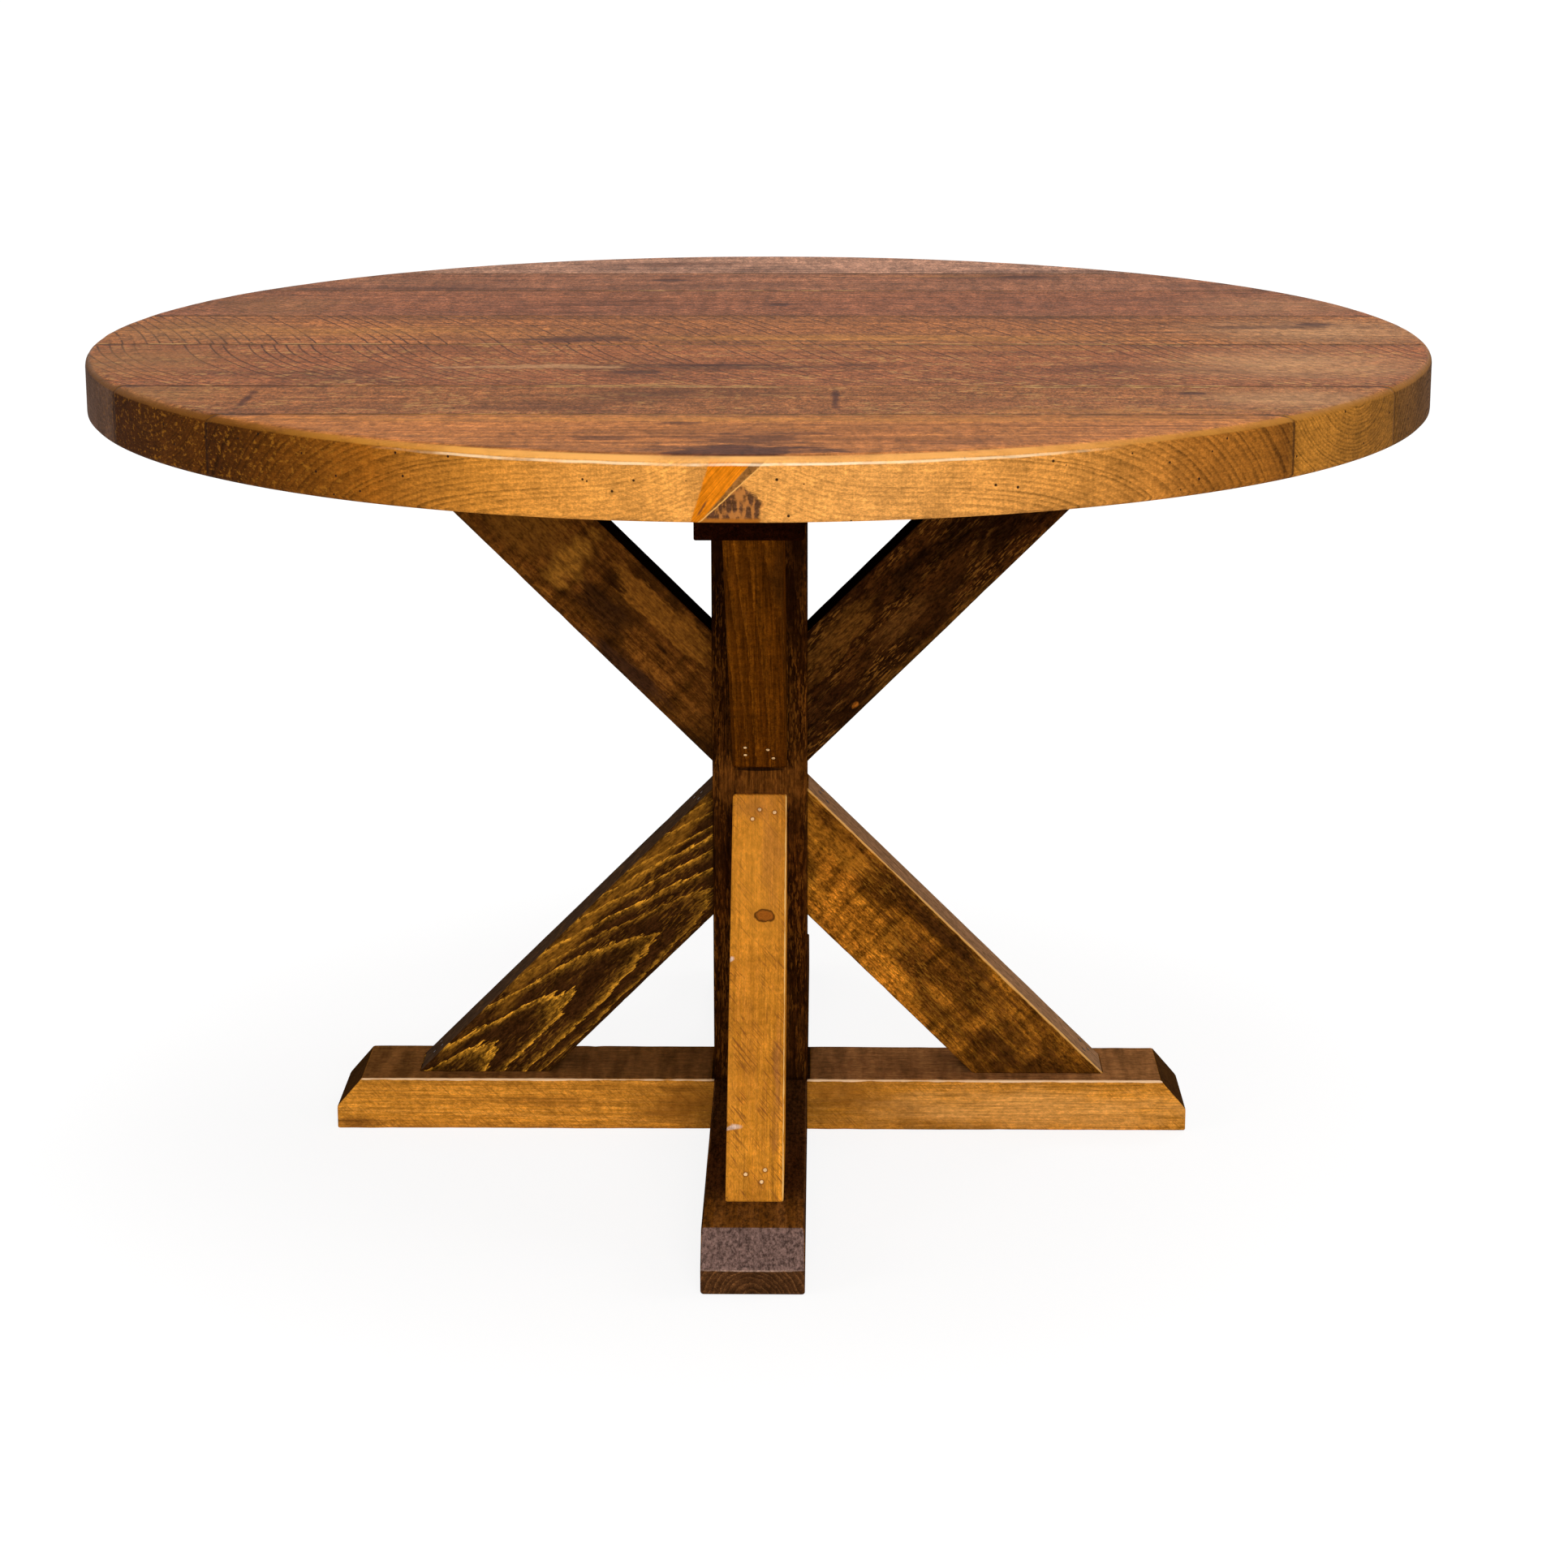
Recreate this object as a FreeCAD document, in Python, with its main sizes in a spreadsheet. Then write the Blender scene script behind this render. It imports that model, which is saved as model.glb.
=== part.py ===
import FreeCAD, Part
import math
import os

import Sketcher

# Round plank-top table on a square post with crossed feet, crossed cleats and eight slanted braces.
# Millimetres, +Z up, front towards -Y. The origin is on the floor under the axis of the post.
driving_sizes = {
    "table_height": 762,
    "top_diameter": 1219.2,
    "top_thickness": 50.8,
    "rim_round_top": 8,
    "rim_bevel_under": 2.5,
    "front_seam_offset": 430,
    "board_2_width": 139.7,
    "board_3_width": 234.95,
    "board_4_width": 184.15,
    "board_5_width": 184.15,
    "board_6_width": 139.7,
    "trim_waste": 20,
    "seam_ease": 0.8,
    "dowel_diameter": 10,
    "dowel_length": 40,
    "dowel_bevel": 1,
    "dowel_end_inset": 80,
    "post_side": 88.9,
    "post_edge_round": 3,
    "cleat_length": 863.6,
    "cleat_width": 88.9,
    "cleat_height": 50.8,
    "foot_length": 812.8,
    "foot_width": 88.9,
    "foot_height": 50.8,
    "foot_chamfer_run": 24,
    "foot_chamfer_rise": 28,
    "edge_round": 2,
    "brace_thickness": 50.8,
    "brace_depth": 88.9,
    "brace_meeting_height": 348,
    "brace_gap": 25.4,
    "lower_brace_ledge": 53.4,
    "upper_brace_ledge": 87.6,
    "lag_diameter": 9.5,
    "lag_length": 127,
    "lag_tip": 10,
    "lag_head_width": 14.3,
    "lag_head_height": 6.5,
    "lag_head_recess": 4.5,
    "washer_diameter": 25.4,
    "washer_thickness": 2,
    "washer_clearance": 0.4,
    "counterbore_clearance": 1.6,
    "screw_diameter": 4.8,
    "screw_bite": 25,
    "screw_tip": 8,
    "screw_head_diameter": 9.5,
    "screw_head_height": 4.5,
    "screw_edge_inset": 10.5,
    "side_screw_end_inset": 30,
    "side_screw_post_gap": 85,
    "nail_diameter": 2,
    "nail_length": 50.8,
    "nail_tip": 3,
    "nail_head_diameter": 3.2,
    "nail_head_height": 1.5,
    "nail_head_stand": 0.3,
    "point_flat": 1,
}
dowels_per_seam = 5

# Nails in a brace: offset across its face, and distance along the face from its pointed corner.
upper_post_nails = ((-13, 38), (-13, 24), (8, 34), (13, 18))
upper_cleat_nails = ((-12, 24), (2, 19), (13, 27))
lower_post_nails = ((-6.5, 27), (0, 17), (14, 20))
lower_foot_nails = ((-8, 25), (6, 18), (9, 29))

# Turn about the post that takes a piece drawn on the right to each side of the table.
side_turns = {"right": 0, "back": 90, "left": 180, "front": -90}
front_back_turn = 90

# Heights and reaches that follow from the driving sizes.
top_underside = "(sizes.table_height - sizes.top_thickness)"
cleat_underside = f"({top_underside} - sizes.cleat_height)"
post_face = "(sizes.post_side / 2)"
lower_corner = "(sizes.brace_meeting_height - sizes.brace_gap / 2)"
upper_corner = "(sizes.brace_meeting_height + sizes.brace_gap / 2)"
lower_toe = "(sizes.foot_length / 2 - sizes.foot_chamfer_run - sizes.lower_brace_ledge)"
upper_toe = "(sizes.cleat_length / 2 - sizes.upper_brace_ledge)"
lower_slope = f"atan(({lower_corner} - sizes.foot_height) / ({lower_toe} - {post_face}))"
upper_slope = f"atan(({cleat_underside} - {upper_corner}) / ({upper_toe} - {post_face}))"
counterbore_depth = "(sizes.washer_thickness + sizes.lag_head_height + sizes.lag_head_recess)"
screw_length = "(sizes.cleat_height + sizes.screw_bite)"

doc = FreeCAD.newDocument("sawbuck_table")
sizes = doc.addObject("Spreadsheet::Sheet", "sizes")
for row, (alias, size) in enumerate(driving_sizes.items(), start=1):
    sizes.set(f"A{row}", str(size))
    sizes.setAlias(f"A{row}", alias)
doc.recompute()

nodes = []


def value(expression):
    result = sizes.evalExpression(expression)
    return float(getattr(result, "Value", result))


def turned(angle):
    return FreeCAD.Placement(FreeCAD.Vector(), FreeCAD.Rotation(FreeCAD.Vector(0, 0, 1), angle))


def new_sketch(body, name, role, height="0"):
    sketch = body.newObject("Sketcher::SketchObject", name)
    plane = next(feature for feature in body.Origin.OriginFeatures if feature.Role == role)
    sketch.AttachmentSupport = [(plane, "")]
    sketch.MapMode = "FlatFace"
    sketch.setExpression("AttachmentOffset.Base.z", height)
    return sketch


def bind(sketch, constraint, expression):
    index = sketch.addConstraint(constraint)
    sketch.setExpression(f"Constraints[{index}]", expression)


def outline(body, name, role, corners, height="0"):
    # A closed outline of straight lines, with every corner given as two expressions.
    sketch = new_sketch(body, name, role, height)
    points = [FreeCAD.Vector(value(across), value(up), 0) for across, up in corners]
    following = points[1:] + points[:1]
    for start, end in zip(points, following):
        sketch.addGeometry(Part.LineSegment(start, end), False)
    for line, (across, up) in enumerate(corners):
        next_line = (line + 1) % len(corners)
        sketch.addConstraint(Sketcher.Constraint("Coincident", line, 2, next_line, 1))
        bind(sketch, Sketcher.Constraint("DistanceX", -1, 1, line, 1, points[line].x), across)
        bind(sketch, Sketcher.Constraint("DistanceY", -1, 1, line, 1, points[line].y), up)
    return sketch


def circles(body, name, radii, height="0"):
    # Concentric circles about the table's axis.
    sketch = new_sketch(body, name, "XY_Plane", height)
    for index, radius in enumerate(radii):
        circle = Part.Circle(FreeCAD.Vector(), FreeCAD.Vector(0, 0, 1), value(radius))
        sketch.addGeometry(circle, False)
        sketch.addConstraint(Sketcher.Constraint("Coincident", index, 3, -1, 1))
        bind(sketch, Sketcher.Constraint("Radius", index, value(radius)), radius)
    return sketch


def pad(body, sketch, length, symmetric=False, reverse=False):
    feature = body.newObject("PartDesign::Pad", sketch.Name + "_pad")
    feature.Profile = sketch
    feature.SideType = "Symmetric" if symmetric else "One side"
    feature.Reversed = reverse
    feature.setExpression("Length", length)
    doc.recompute()
    return feature


def pocket(body, sketch, length, symmetric=False, reverse=False):
    volume_before = body.Tip.Shape.Volume
    feature = body.newObject("PartDesign::Pocket", sketch.Name + "_pocket")
    feature.Profile = sketch
    feature.SideType = "Symmetric" if symmetric else "One side"
    feature.Reversed = reverse
    feature.setExpression("Length", length)
    doc.recompute()
    if feature.Shape.Volume >= volume_before:
        raise RuntimeError(f"{feature.Name} removed nothing")
    return feature


def edge_names(shape, wanted):
    return [f"Edge{number}" for number, edge in enumerate(shape.Edges, start=1) if wanted(edge)]


def round_edges(body, name, radius, wanted):
    base = body.Tip
    feature = body.newObject("PartDesign::Fillet", name)
    feature.Base = (base, edge_names(base.Shape, wanted))
    feature.setExpression("Radius", radius)
    doc.recompute()


def turned_piece(name, corners):
    # A round piece turned about its own +Z, drawn as half of its profile.
    body = doc.addObject("PartDesign::Body", name)
    profile = outline(body, name + "_profile", "XZ_Plane", corners)
    feature = body.newObject("PartDesign::Revolution", name + "_turning")
    feature.Profile = profile
    feature.ReferenceAxis = (profile, ["V_Axis"])
    doc.recompute()
    return body


def fastener_group(label, pattern, places):
    # Separate copies of one fastener, kept together as one node.
    group = doc.addObject("Part::Feature", label)
    copies = []
    for place in places:
        fastener = pattern.Shape.copy()
        fastener.Placement = place
        copies.append(fastener)
    group.Shape = Part.makeCompound(copies)
    keep_node(group, label)
    return group


def keep_node(piece, label):
    piece.Label = label
    nodes.append(piece)


def bored(label, blank, fasteners):
    # A wooden piece with the holes that its own fasteners fill.
    cutters = doc.addObject("Part::Compound", label + "_fasteners")
    cutters.Links = fasteners
    piece = doc.addObject("Part::Cut", label)
    piece.Base = blank
    piece.Tool = cutters
    keep_node(piece, label)


def lag_screw(label, flip, height):
    radius = "(sizes.lag_diameter / 2)"
    corner = "(sizes.lag_head_width / 2 / cos(30deg))"
    body = turned_piece(label, [
        ("0", "0"),
        (radius, "0"),
        (radius, "sizes.lag_length - sizes.lag_tip"),
        ("sizes.point_flat / 2", "sizes.lag_length"),
        ("0", "sizes.lag_length"),
    ])
    hexagon = [(f"{corner} * cos({turn}deg)", f"{corner} * sin({turn}deg)") for turn in range(0, 360, 60)]
    pad(body, outline(body, label + "_head", "XY_Plane", hexagon), "sizes.lag_head_height", reverse=True)
    body.Placement = FreeCAD.Placement(FreeCAD.Vector(), FreeCAD.Rotation(FreeCAD.Vector(1, 0, 0), flip))
    body.setExpression("Placement.Base.z", height)
    keep_node(body, label)
    return body


def lag_washer(label, height):
    body = doc.addObject("PartDesign::Body", label)
    hole_radius = "sizes.lag_diameter / 2 + sizes.washer_clearance"
    ring = circles(body, label + "_ring", ["sizes.washer_diameter / 2", hole_radius])
    pad(body, ring, "sizes.washer_thickness")
    body.setExpression("Placement.Base.z", height)
    keep_node(body, label)


def halved_bar(name, width, corners, lap_low, lap_high, angle):
    # A flat-laid bar with eased edges and the notch of a half-lap at its middle.
    body = doc.addObject("PartDesign::Body", name)
    pad(body, outline(body, name + "_side", "XZ_Plane", corners), width, symmetric=True)
    round_edges(body, name + "_eased", "sizes.edge_round", lambda edge: True)
    half_width = f"{width} / 2"
    lap = [
        (f"-{half_width}", lap_low),
        (half_width, lap_low),
        (half_width, lap_high),
        (f"-{half_width}", lap_high),
    ]
    pocket(body, outline(body, name + "_lap", "XZ_Plane", lap), f"{width} * 2", symmetric=True)
    body.Placement = turned(angle)
    return body


def counterbore(body, name, height, upwards):
    radius = "sizes.washer_diameter / 2 + sizes.counterbore_clearance"
    pocket(body, circles(body, name, [radius], height), counterbore_depth, reverse=upwards)


def foot_blank(name, lap_low, lap_high, angle):
    end = "(sizes.foot_length / 2)"
    shoulder = "sizes.foot_height - sizes.foot_chamfer_rise"
    crest = f"({end} - sizes.foot_chamfer_run)"
    corners = [
        (f"-{end}", "0"),
        (end, "0"),
        (end, shoulder),
        (crest, "sizes.foot_height"),
        (f"-{crest}", "sizes.foot_height"),
        (f"-{end}", shoulder),
    ]
    return halved_bar(name, "sizes.foot_width", corners, lap_low, lap_high, angle)


def cleat_blank(name, lap_low, lap_high, angle):
    end = "(sizes.cleat_length / 2)"
    corners = [
        (f"-{end}", cleat_underside),
        (end, cleat_underside),
        (end, top_underside),
        (f"-{end}", top_underside),
    ]
    return halved_bar(name, "sizes.cleat_width", corners, lap_low, lap_high, angle)


def post_blank():
    body = doc.addObject("PartDesign::Body", "post_blank")
    square = [
        (f"-{post_face}", f"-{post_face}"),
        (post_face, f"-{post_face}"),
        (post_face, post_face),
        (f"-{post_face}", post_face),
    ]
    section = outline(body, "post_section", "XY_Plane", square, "sizes.foot_height")
    pad(body, section, f"{cleat_underside} - sizes.foot_height")
    round_edges(body, "post_eased", "sizes.post_edge_round", runs_upright)
    return body


def runs_upright(edge):
    direction = edge.tangentAt(edge.FirstParameter)
    return abs(direction.z) > 0.99


def on_level(edge, height):
    box = edge.BoundBox
    return max(abs(box.ZMin - value(height)), abs(box.ZMax - value(height))) < 0.001


def runs_aslant(edge):
    direction = edge.tangentAt(edge.FirstParameter)
    return abs(direction.x) > 0.1 and abs(direction.z) > 0.1


def brace_blank(name, corners, angle):
    body = doc.addObject("PartDesign::Body", name)
    pad(body, outline(body, name + "_side", "XZ_Plane", corners), "sizes.brace_thickness", symmetric=True)
    round_edges(body, name + "_eased", "sizes.edge_round", runs_aslant)
    body.Placement = turned(angle)
    return body


def nail_places(corner, along, driven, spots):
    # Nails driven square to a brace's outer face, repeated on the four sides of the table.
    stand = value("sizes.nail_head_stand")
    aim = FreeCAD.Rotation(FreeCAD.Vector(0, 0, 1), driven)
    places = []
    for angle in side_turns.values():
        for across, distance in spots:
            point = corner + along * distance + FreeCAD.Vector(0, across, 0) - driven * stand
            places.append(turned(angle).multiply(FreeCAD.Placement(point, aim)))
    return places


def dowel_places(seam):
    radius = value("sizes.top_diameter / 2")
    reach = math.sqrt(radius**2 - seam**2) - value("sizes.dowel_end_inset")
    start = seam - value("sizes.dowel_length / 2")
    height = value("sizes.table_height - sizes.top_thickness / 2")
    along_y = FreeCAD.Rotation(FreeCAD.Vector(0, 0, 1), FreeCAD.Vector(0, 1, 0))
    spacing = 2 * reach / (dowels_per_seam - 1)
    return [
        FreeCAD.Placement(FreeCAD.Vector(index * spacing - reach, start, height), along_y)
        for index in range(dowels_per_seam)
    ]


def screw_places(seams):
    # Pairs under each board that the front-to-back cleat crosses, then pairs along the other cleat.
    lateral = value("sizes.cleat_width / 2 - sizes.screw_edge_inset")
    cleat_end = value("sizes.cleat_length / 2")
    post_edge = value(post_face)
    height = value(cleat_underside)
    spots = []
    for low, high in zip(seams, seams[1:]):
        ahead = (max(low, -cleat_end), min(high, -post_edge))
        behind = (max(low, post_edge), min(high, cleat_end))
        start, stop = max(ahead, behind, key=lambda stretch: stretch[1] - stretch[0])
        middle = (start + stop) / 2
        spots += [(-lateral, middle), (lateral, middle)]
    outer = cleat_end - value("sizes.side_screw_end_inset")
    inner = post_edge + value("sizes.side_screw_post_gap")
    for across in (-outer, -inner, inner, outer):
        spots += [(across, -lateral), (across, lateral)]
    return [FreeCAD.Placement(FreeCAD.Vector(x, y, height), FreeCAD.Rotation()) for x, y in spots]


def top_disc():
    body = doc.addObject("PartDesign::Body", "top_disc")
    pad(body, circles(body, "top_circle", ["sizes.top_diameter / 2"], top_underside), "sizes.top_thickness")
    round_edges(body, "rim_round", "sizes.rim_round_top", lambda edge: on_level(edge, "sizes.table_height"))
    rounded = body.Tip
    bevel = body.newObject("PartDesign::Chamfer", "rim_bevel")
    bevel.Base = (rounded, edge_names(rounded.Shape, lambda edge: on_level(edge, top_underside)))
    bevel.setExpression("Size", "sizes.rim_bevel_under")
    doc.recompute()
    return body


def plank(name, front, back):
    # One board of the glued-up blank, with its upper corners eased at the seams.
    body = doc.addObject("PartDesign::Body", name)
    shoulder = "sizes.table_height - sizes.seam_ease"
    corners = [
        (front, top_underside),
        (back, top_underside),
        (back, shoulder),
        (f"{back} - sizes.seam_ease", "sizes.table_height"),
        (f"{front} + sizes.seam_ease", "sizes.table_height"),
        (front, shoulder),
    ]
    section = outline(body, name + "_section", "YZ_Plane", corners)
    pad(body, section, "sizes.top_diameter + 2 * sizes.trim_waste", symmetric=True)
    return body


# Fasteners
dowel_radius = "(sizes.dowel_diameter / 2)"
dowel = turned_piece("dowel", [
    ("0", "0"),
    (f"{dowel_radius} - sizes.dowel_bevel", "0"),
    (dowel_radius, "sizes.dowel_bevel"),
    (dowel_radius, "sizes.dowel_length - sizes.dowel_bevel"),
    (f"{dowel_radius} - sizes.dowel_bevel", "sizes.dowel_length"),
    ("0", "sizes.dowel_length"),
])
screw = turned_piece("screw", [
    ("0", "0"),
    ("sizes.screw_head_diameter / 2", "0"),
    ("sizes.screw_diameter / 2", "sizes.screw_head_height"),
    ("sizes.screw_diameter / 2", f"{screw_length} - sizes.screw_tip"),
    ("sizes.point_flat / 2", screw_length),
    ("0", screw_length),
])
nail = turned_piece("nail", [
    ("0", "0"),
    ("sizes.nail_head_diameter / 2", "0"),
    ("sizes.nail_head_diameter / 2", "sizes.nail_head_height"),
    ("sizes.nail_diameter / 2", "sizes.nail_head_height"),
    ("sizes.nail_diameter / 2", "sizes.nail_length - sizes.nail_tip"),
    ("sizes.point_flat / 2", "sizes.nail_length"),
    ("0", "sizes.nail_length"),
])

# Seams of the top, from front to back
seam_lines = ["-sizes.front_seam_offset"]
for number in range(2, 7):
    seam_lines.append(f"{seam_lines[-1]} + sizes.board_{number}_width")
seam_places = [value(line) for line in seam_lines]
seam_dowels = fastener_group("seam_dowels", dowel, sum([dowel_places(seam) for seam in seam_places], []))
top_screws = fastener_group("top_screws", screw, screw_places(seam_places))

# Lines of the braces' outer faces, on the right-hand side of the table
lower_angle = math.radians(value(lower_slope))
upper_angle = math.radians(value(upper_slope))
down_lower = FreeCAD.Vector(math.cos(lower_angle), 0, -math.sin(lower_angle))
into_lower = FreeCAD.Vector(-math.sin(lower_angle), 0, -math.cos(lower_angle))
up_upper = FreeCAD.Vector(math.cos(upper_angle), 0, math.sin(upper_angle))
into_upper = FreeCAD.Vector(-math.sin(upper_angle), 0, math.cos(upper_angle))
lower_post_point = FreeCAD.Vector(value(post_face), 0, value(lower_corner))
lower_foot_point = FreeCAD.Vector(value(lower_toe), 0, value("sizes.foot_height"))
upper_post_point = FreeCAD.Vector(value(post_face), 0, value(upper_corner))
upper_cleat_point = FreeCAD.Vector(value(upper_toe), 0, value(cleat_underside))

upper_brace_post_nails = fastener_group(
    "upper_brace_post_nails", nail, nail_places(upper_post_point, up_upper, into_upper, upper_post_nails))
upper_brace_cleat_nails = fastener_group(
    "upper_brace_cleat_nails", nail, nail_places(upper_cleat_point, -up_upper, into_upper, upper_cleat_nails))
lower_brace_post_nails = fastener_group(
    "lower_brace_post_nails", nail, nail_places(lower_post_point, down_lower, into_lower, lower_post_nails))
lower_brace_foot_nails = fastener_group(
    "lower_brace_foot_nails", nail, nail_places(lower_foot_point, -down_lower, into_lower, lower_foot_nails))

# Lag screws and washers that hold the two crosses to the ends of the post
foot_washer_face = f"{counterbore_depth} - sizes.washer_thickness"
head_washer_face = f"{top_underside} - {counterbore_depth}"
foot_lag = lag_screw("foot_lag_screw", 0, foot_washer_face)
head_lag = lag_screw("head_lag_screw", 180, f"{head_washer_face} + sizes.washer_thickness")
lag_washer("foot_lag_washer", foot_washer_face)
lag_washer("head_lag_washer", head_washer_face)

# Crossed feet: the side-to-side foot lies under the lap and takes the counterbore
foot_lap = "sizes.foot_height / 2"
foot_across = foot_blank("foot_side_to_side_blank", foot_lap, "sizes.foot_height * 2", 0)
counterbore(foot_across, "foot_counterbore", "0", True)
foot_along = foot_blank("foot_front_back_blank", "-sizes.foot_height", foot_lap, front_back_turn)
bored("foot_side_to_side", foot_across, [foot_lag, lower_brace_foot_nails])
bored("foot_front_back", foot_along, [foot_lag, lower_brace_foot_nails])

# Crossed cleats: the side-to-side cleat lies over the lap and takes the counterbore
cleat_lap = f"{top_underside} - sizes.cleat_height / 2"
cleat_across = cleat_blank("cleat_side_to_side_blank", f"{cleat_underside} - sizes.cleat_height", cleat_lap, 0)
counterbore(cleat_across, "cleat_counterbore", top_underside, False)
cleat_along = cleat_blank("cleat_front_back_blank", cleat_lap, "sizes.table_height", front_back_turn)
bored("cleat_side_to_side", cleat_across, [head_lag, top_screws, upper_brace_cleat_nails])
bored("cleat_front_back", cleat_along, [head_lag, top_screws, upper_brace_cleat_nails])

bored("post", post_blank(), [foot_lag, head_lag, upper_brace_post_nails, lower_brace_post_nails])

# Braces, fitted between the post and the feet or cleats
lower_brace_corners = [
    (post_face, lower_corner),
    (post_face, f"{lower_corner} - sizes.brace_depth / cos({lower_slope})"),
    (f"{lower_toe} - sizes.brace_depth / sin({lower_slope})", "sizes.foot_height"),
    (lower_toe, "sizes.foot_height"),
]
upper_brace_corners = [
    (post_face, upper_corner),
    (upper_toe, cleat_underside),
    (f"{upper_toe} - sizes.brace_depth / sin({upper_slope})", cleat_underside),
    (post_face, f"{upper_corner} + sizes.brace_depth / cos({upper_slope})"),
]
for side, angle in side_turns.items():
    lower = brace_blank(f"lower_brace_{side}_blank", lower_brace_corners, angle)
    bored(f"lower_brace_{side}", lower, [lower_brace_post_nails, lower_brace_foot_nails])
    upper = brace_blank(f"upper_brace_{side}_blank", upper_brace_corners, angle)
    bored(f"upper_brace_{side}", upper, [upper_brace_post_nails, upper_brace_cleat_nails])

# Boards of the top, each a plank cut to the round of the rim
disc = top_disc()
front_waste = "-sizes.top_diameter / 2 - sizes.trim_waste"
back_waste = "sizes.top_diameter / 2 + sizes.trim_waste"
board_lines = [front_waste] + seam_lines + [back_waste]
for number, (front, back) in enumerate(zip(board_lines, board_lines[1:]), start=1):
    round_board = doc.addObject("Part::Common", f"board_{number}_round")
    round_board.Base = plank(f"board_{number}_plank", front, back)
    round_board.Tool = disc
    bored(f"top_board_{number}", round_board, [seam_dowels, top_screws])

doc.recompute()
for item in doc.Objects:
    if "Invalid" in item.State or "Error" in item.State:
        raise RuntimeError(f"{item.Label} failed: {item.State}")
for node in nodes:
    if node.Shape.isNull() or not node.Shape.isValid():
        raise RuntimeError(f"{node.Label} has no valid shape")

os.makedirs("parts", exist_ok=True)
for node in nodes:
    node.Shape.exportStep(f"parts/{node.Label}.step")
print(len(nodes), "nodes,", sum(len(node.Shape.Solids) for node in nodes), "solids")
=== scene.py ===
import math
import random

import bpy
from mathutils import Matrix, Vector, noise


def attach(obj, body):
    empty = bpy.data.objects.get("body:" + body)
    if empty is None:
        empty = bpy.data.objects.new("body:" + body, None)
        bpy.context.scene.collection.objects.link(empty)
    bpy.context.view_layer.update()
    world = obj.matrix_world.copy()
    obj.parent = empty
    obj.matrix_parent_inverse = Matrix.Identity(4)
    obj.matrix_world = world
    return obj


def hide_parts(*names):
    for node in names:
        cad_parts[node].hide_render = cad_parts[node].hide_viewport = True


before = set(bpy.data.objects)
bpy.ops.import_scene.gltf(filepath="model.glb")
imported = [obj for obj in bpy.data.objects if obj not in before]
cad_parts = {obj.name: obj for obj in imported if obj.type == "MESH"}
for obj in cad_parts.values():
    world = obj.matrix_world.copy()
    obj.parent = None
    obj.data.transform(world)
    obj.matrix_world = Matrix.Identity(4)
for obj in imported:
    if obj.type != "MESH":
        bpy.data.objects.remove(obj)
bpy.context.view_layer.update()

print("frame loaded:", len(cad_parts), "nodes")


# node helpers: a number or colour sets a socket, a socket is linked to it
def feed(t, socket, value):
    if isinstance(value, bpy.types.NodeSocket):
        t.links.new(value, socket)
    elif value is not None:
        socket.default_value = value


def calc(t, operation, *values):
    made = t.nodes.new("ShaderNodeMath")
    made.operation = operation
    for socket, value in zip(made.inputs, values):
        feed(t, socket, value)
    return made.outputs[0]


def product(t, *values):
    made = values[0]
    for value in values[1:]:
        made = calc(t, "MULTIPLY", made, value)
    return made


def total(t, *values):
    made = values[0]
    for value in values[1:]:
        made = calc(t, "ADD", made, value)
    return made


def minus(t, a, b):
    return calc(t, "SUBTRACT", a, b)


def away(t, value, place):
    # distance from a place, on either side
    return calc(t, "ABSOLUTE", minus(t, value, place))


def hump(t, value, sharp):
    # 1 at nought, falling off smoothly on both sides
    return calc(t, "POWER", math.e, product(t, value, value, -sharp))


def vec(t, operation, *values, scale=None, out=0):
    made = t.nodes.new("ShaderNodeVectorMath")
    made.operation = operation
    for socket, value in zip(made.inputs, values):
        feed(t, socket, value)
    if scale is not None:
        feed(t, made.inputs["Scale"], scale)
    return made.outputs[out]


def stretch(t, place, x, y, z):
    return vec(t, "MULTIPLY", place, (x, y, z))


def split(t, value):
    made = t.nodes.new("ShaderNodeSeparateXYZ")
    feed(t, made.inputs[0], value)
    return made.outputs


def join(t, x, y, z):
    made = t.nodes.new("ShaderNodeCombineXYZ")
    for socket, value in zip(made.inputs, (x, y, z)):
        feed(t, socket, value)
    return made.outputs[0]


def mix(t, amount, low, high):
    made = t.nodes.new("ShaderNodeMix")
    made.data_type = "RGBA"
    feed(t, made.inputs[0], amount)
    for socket, value in ((made.inputs[6], low), (made.inputs[7], high)):
        if isinstance(value, tuple) and len(value) == 3:
            value = value + (1.0,)
        feed(t, socket, value)
    return made.outputs[2]


def span(t, value, low, high, toLow=0.0, toHigh=1.0, smooth=True):
    made = t.nodes.new("ShaderNodeMapRange")
    made.interpolation_type = "SMOOTHSTEP" if smooth else "LINEAR"
    for socket, number in zip(made.inputs, (value, low, high, toLow, toHigh)):
        feed(t, socket, number)
    return made.outputs[0]


def vary(t, colour, value, amount, low=0.3, high=0.7):
    # darker and lighter by the same share
    return vec(t, "SCALE", colour, scale=span(t, value, low, high, 1.0 - amount, 1.0 + amount, False))


def ramp(t, value, stops):
    made = t.nodes.new("ShaderNodeValToRGB")
    feed(t, made.inputs[0], value)
    strip = made.color_ramp.elements
    while len(strip) < len(stops):
        strip.new(0.5)
    for mark, (place, shade) in zip(strip, stops):
        mark.position = place
        mark.color = shade + (1.0,)
    return made.outputs[0]


def cloud(t, place, detail=2.0, rough=0.5, colour=False, line=None):
    made = t.nodes.new("ShaderNodeTexNoise")
    if line is not None:
        made.noise_dimensions = "1D"
        feed(t, made.inputs["W"], line)
    else:
        feed(t, made.inputs["Vector"], place)
    made.inputs["Scale"].default_value = 1.0
    made.inputs["Detail"].default_value = detail
    made.inputs["Roughness"].default_value = rough
    return made.outputs["Color" if colour else "Fac"]


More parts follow.
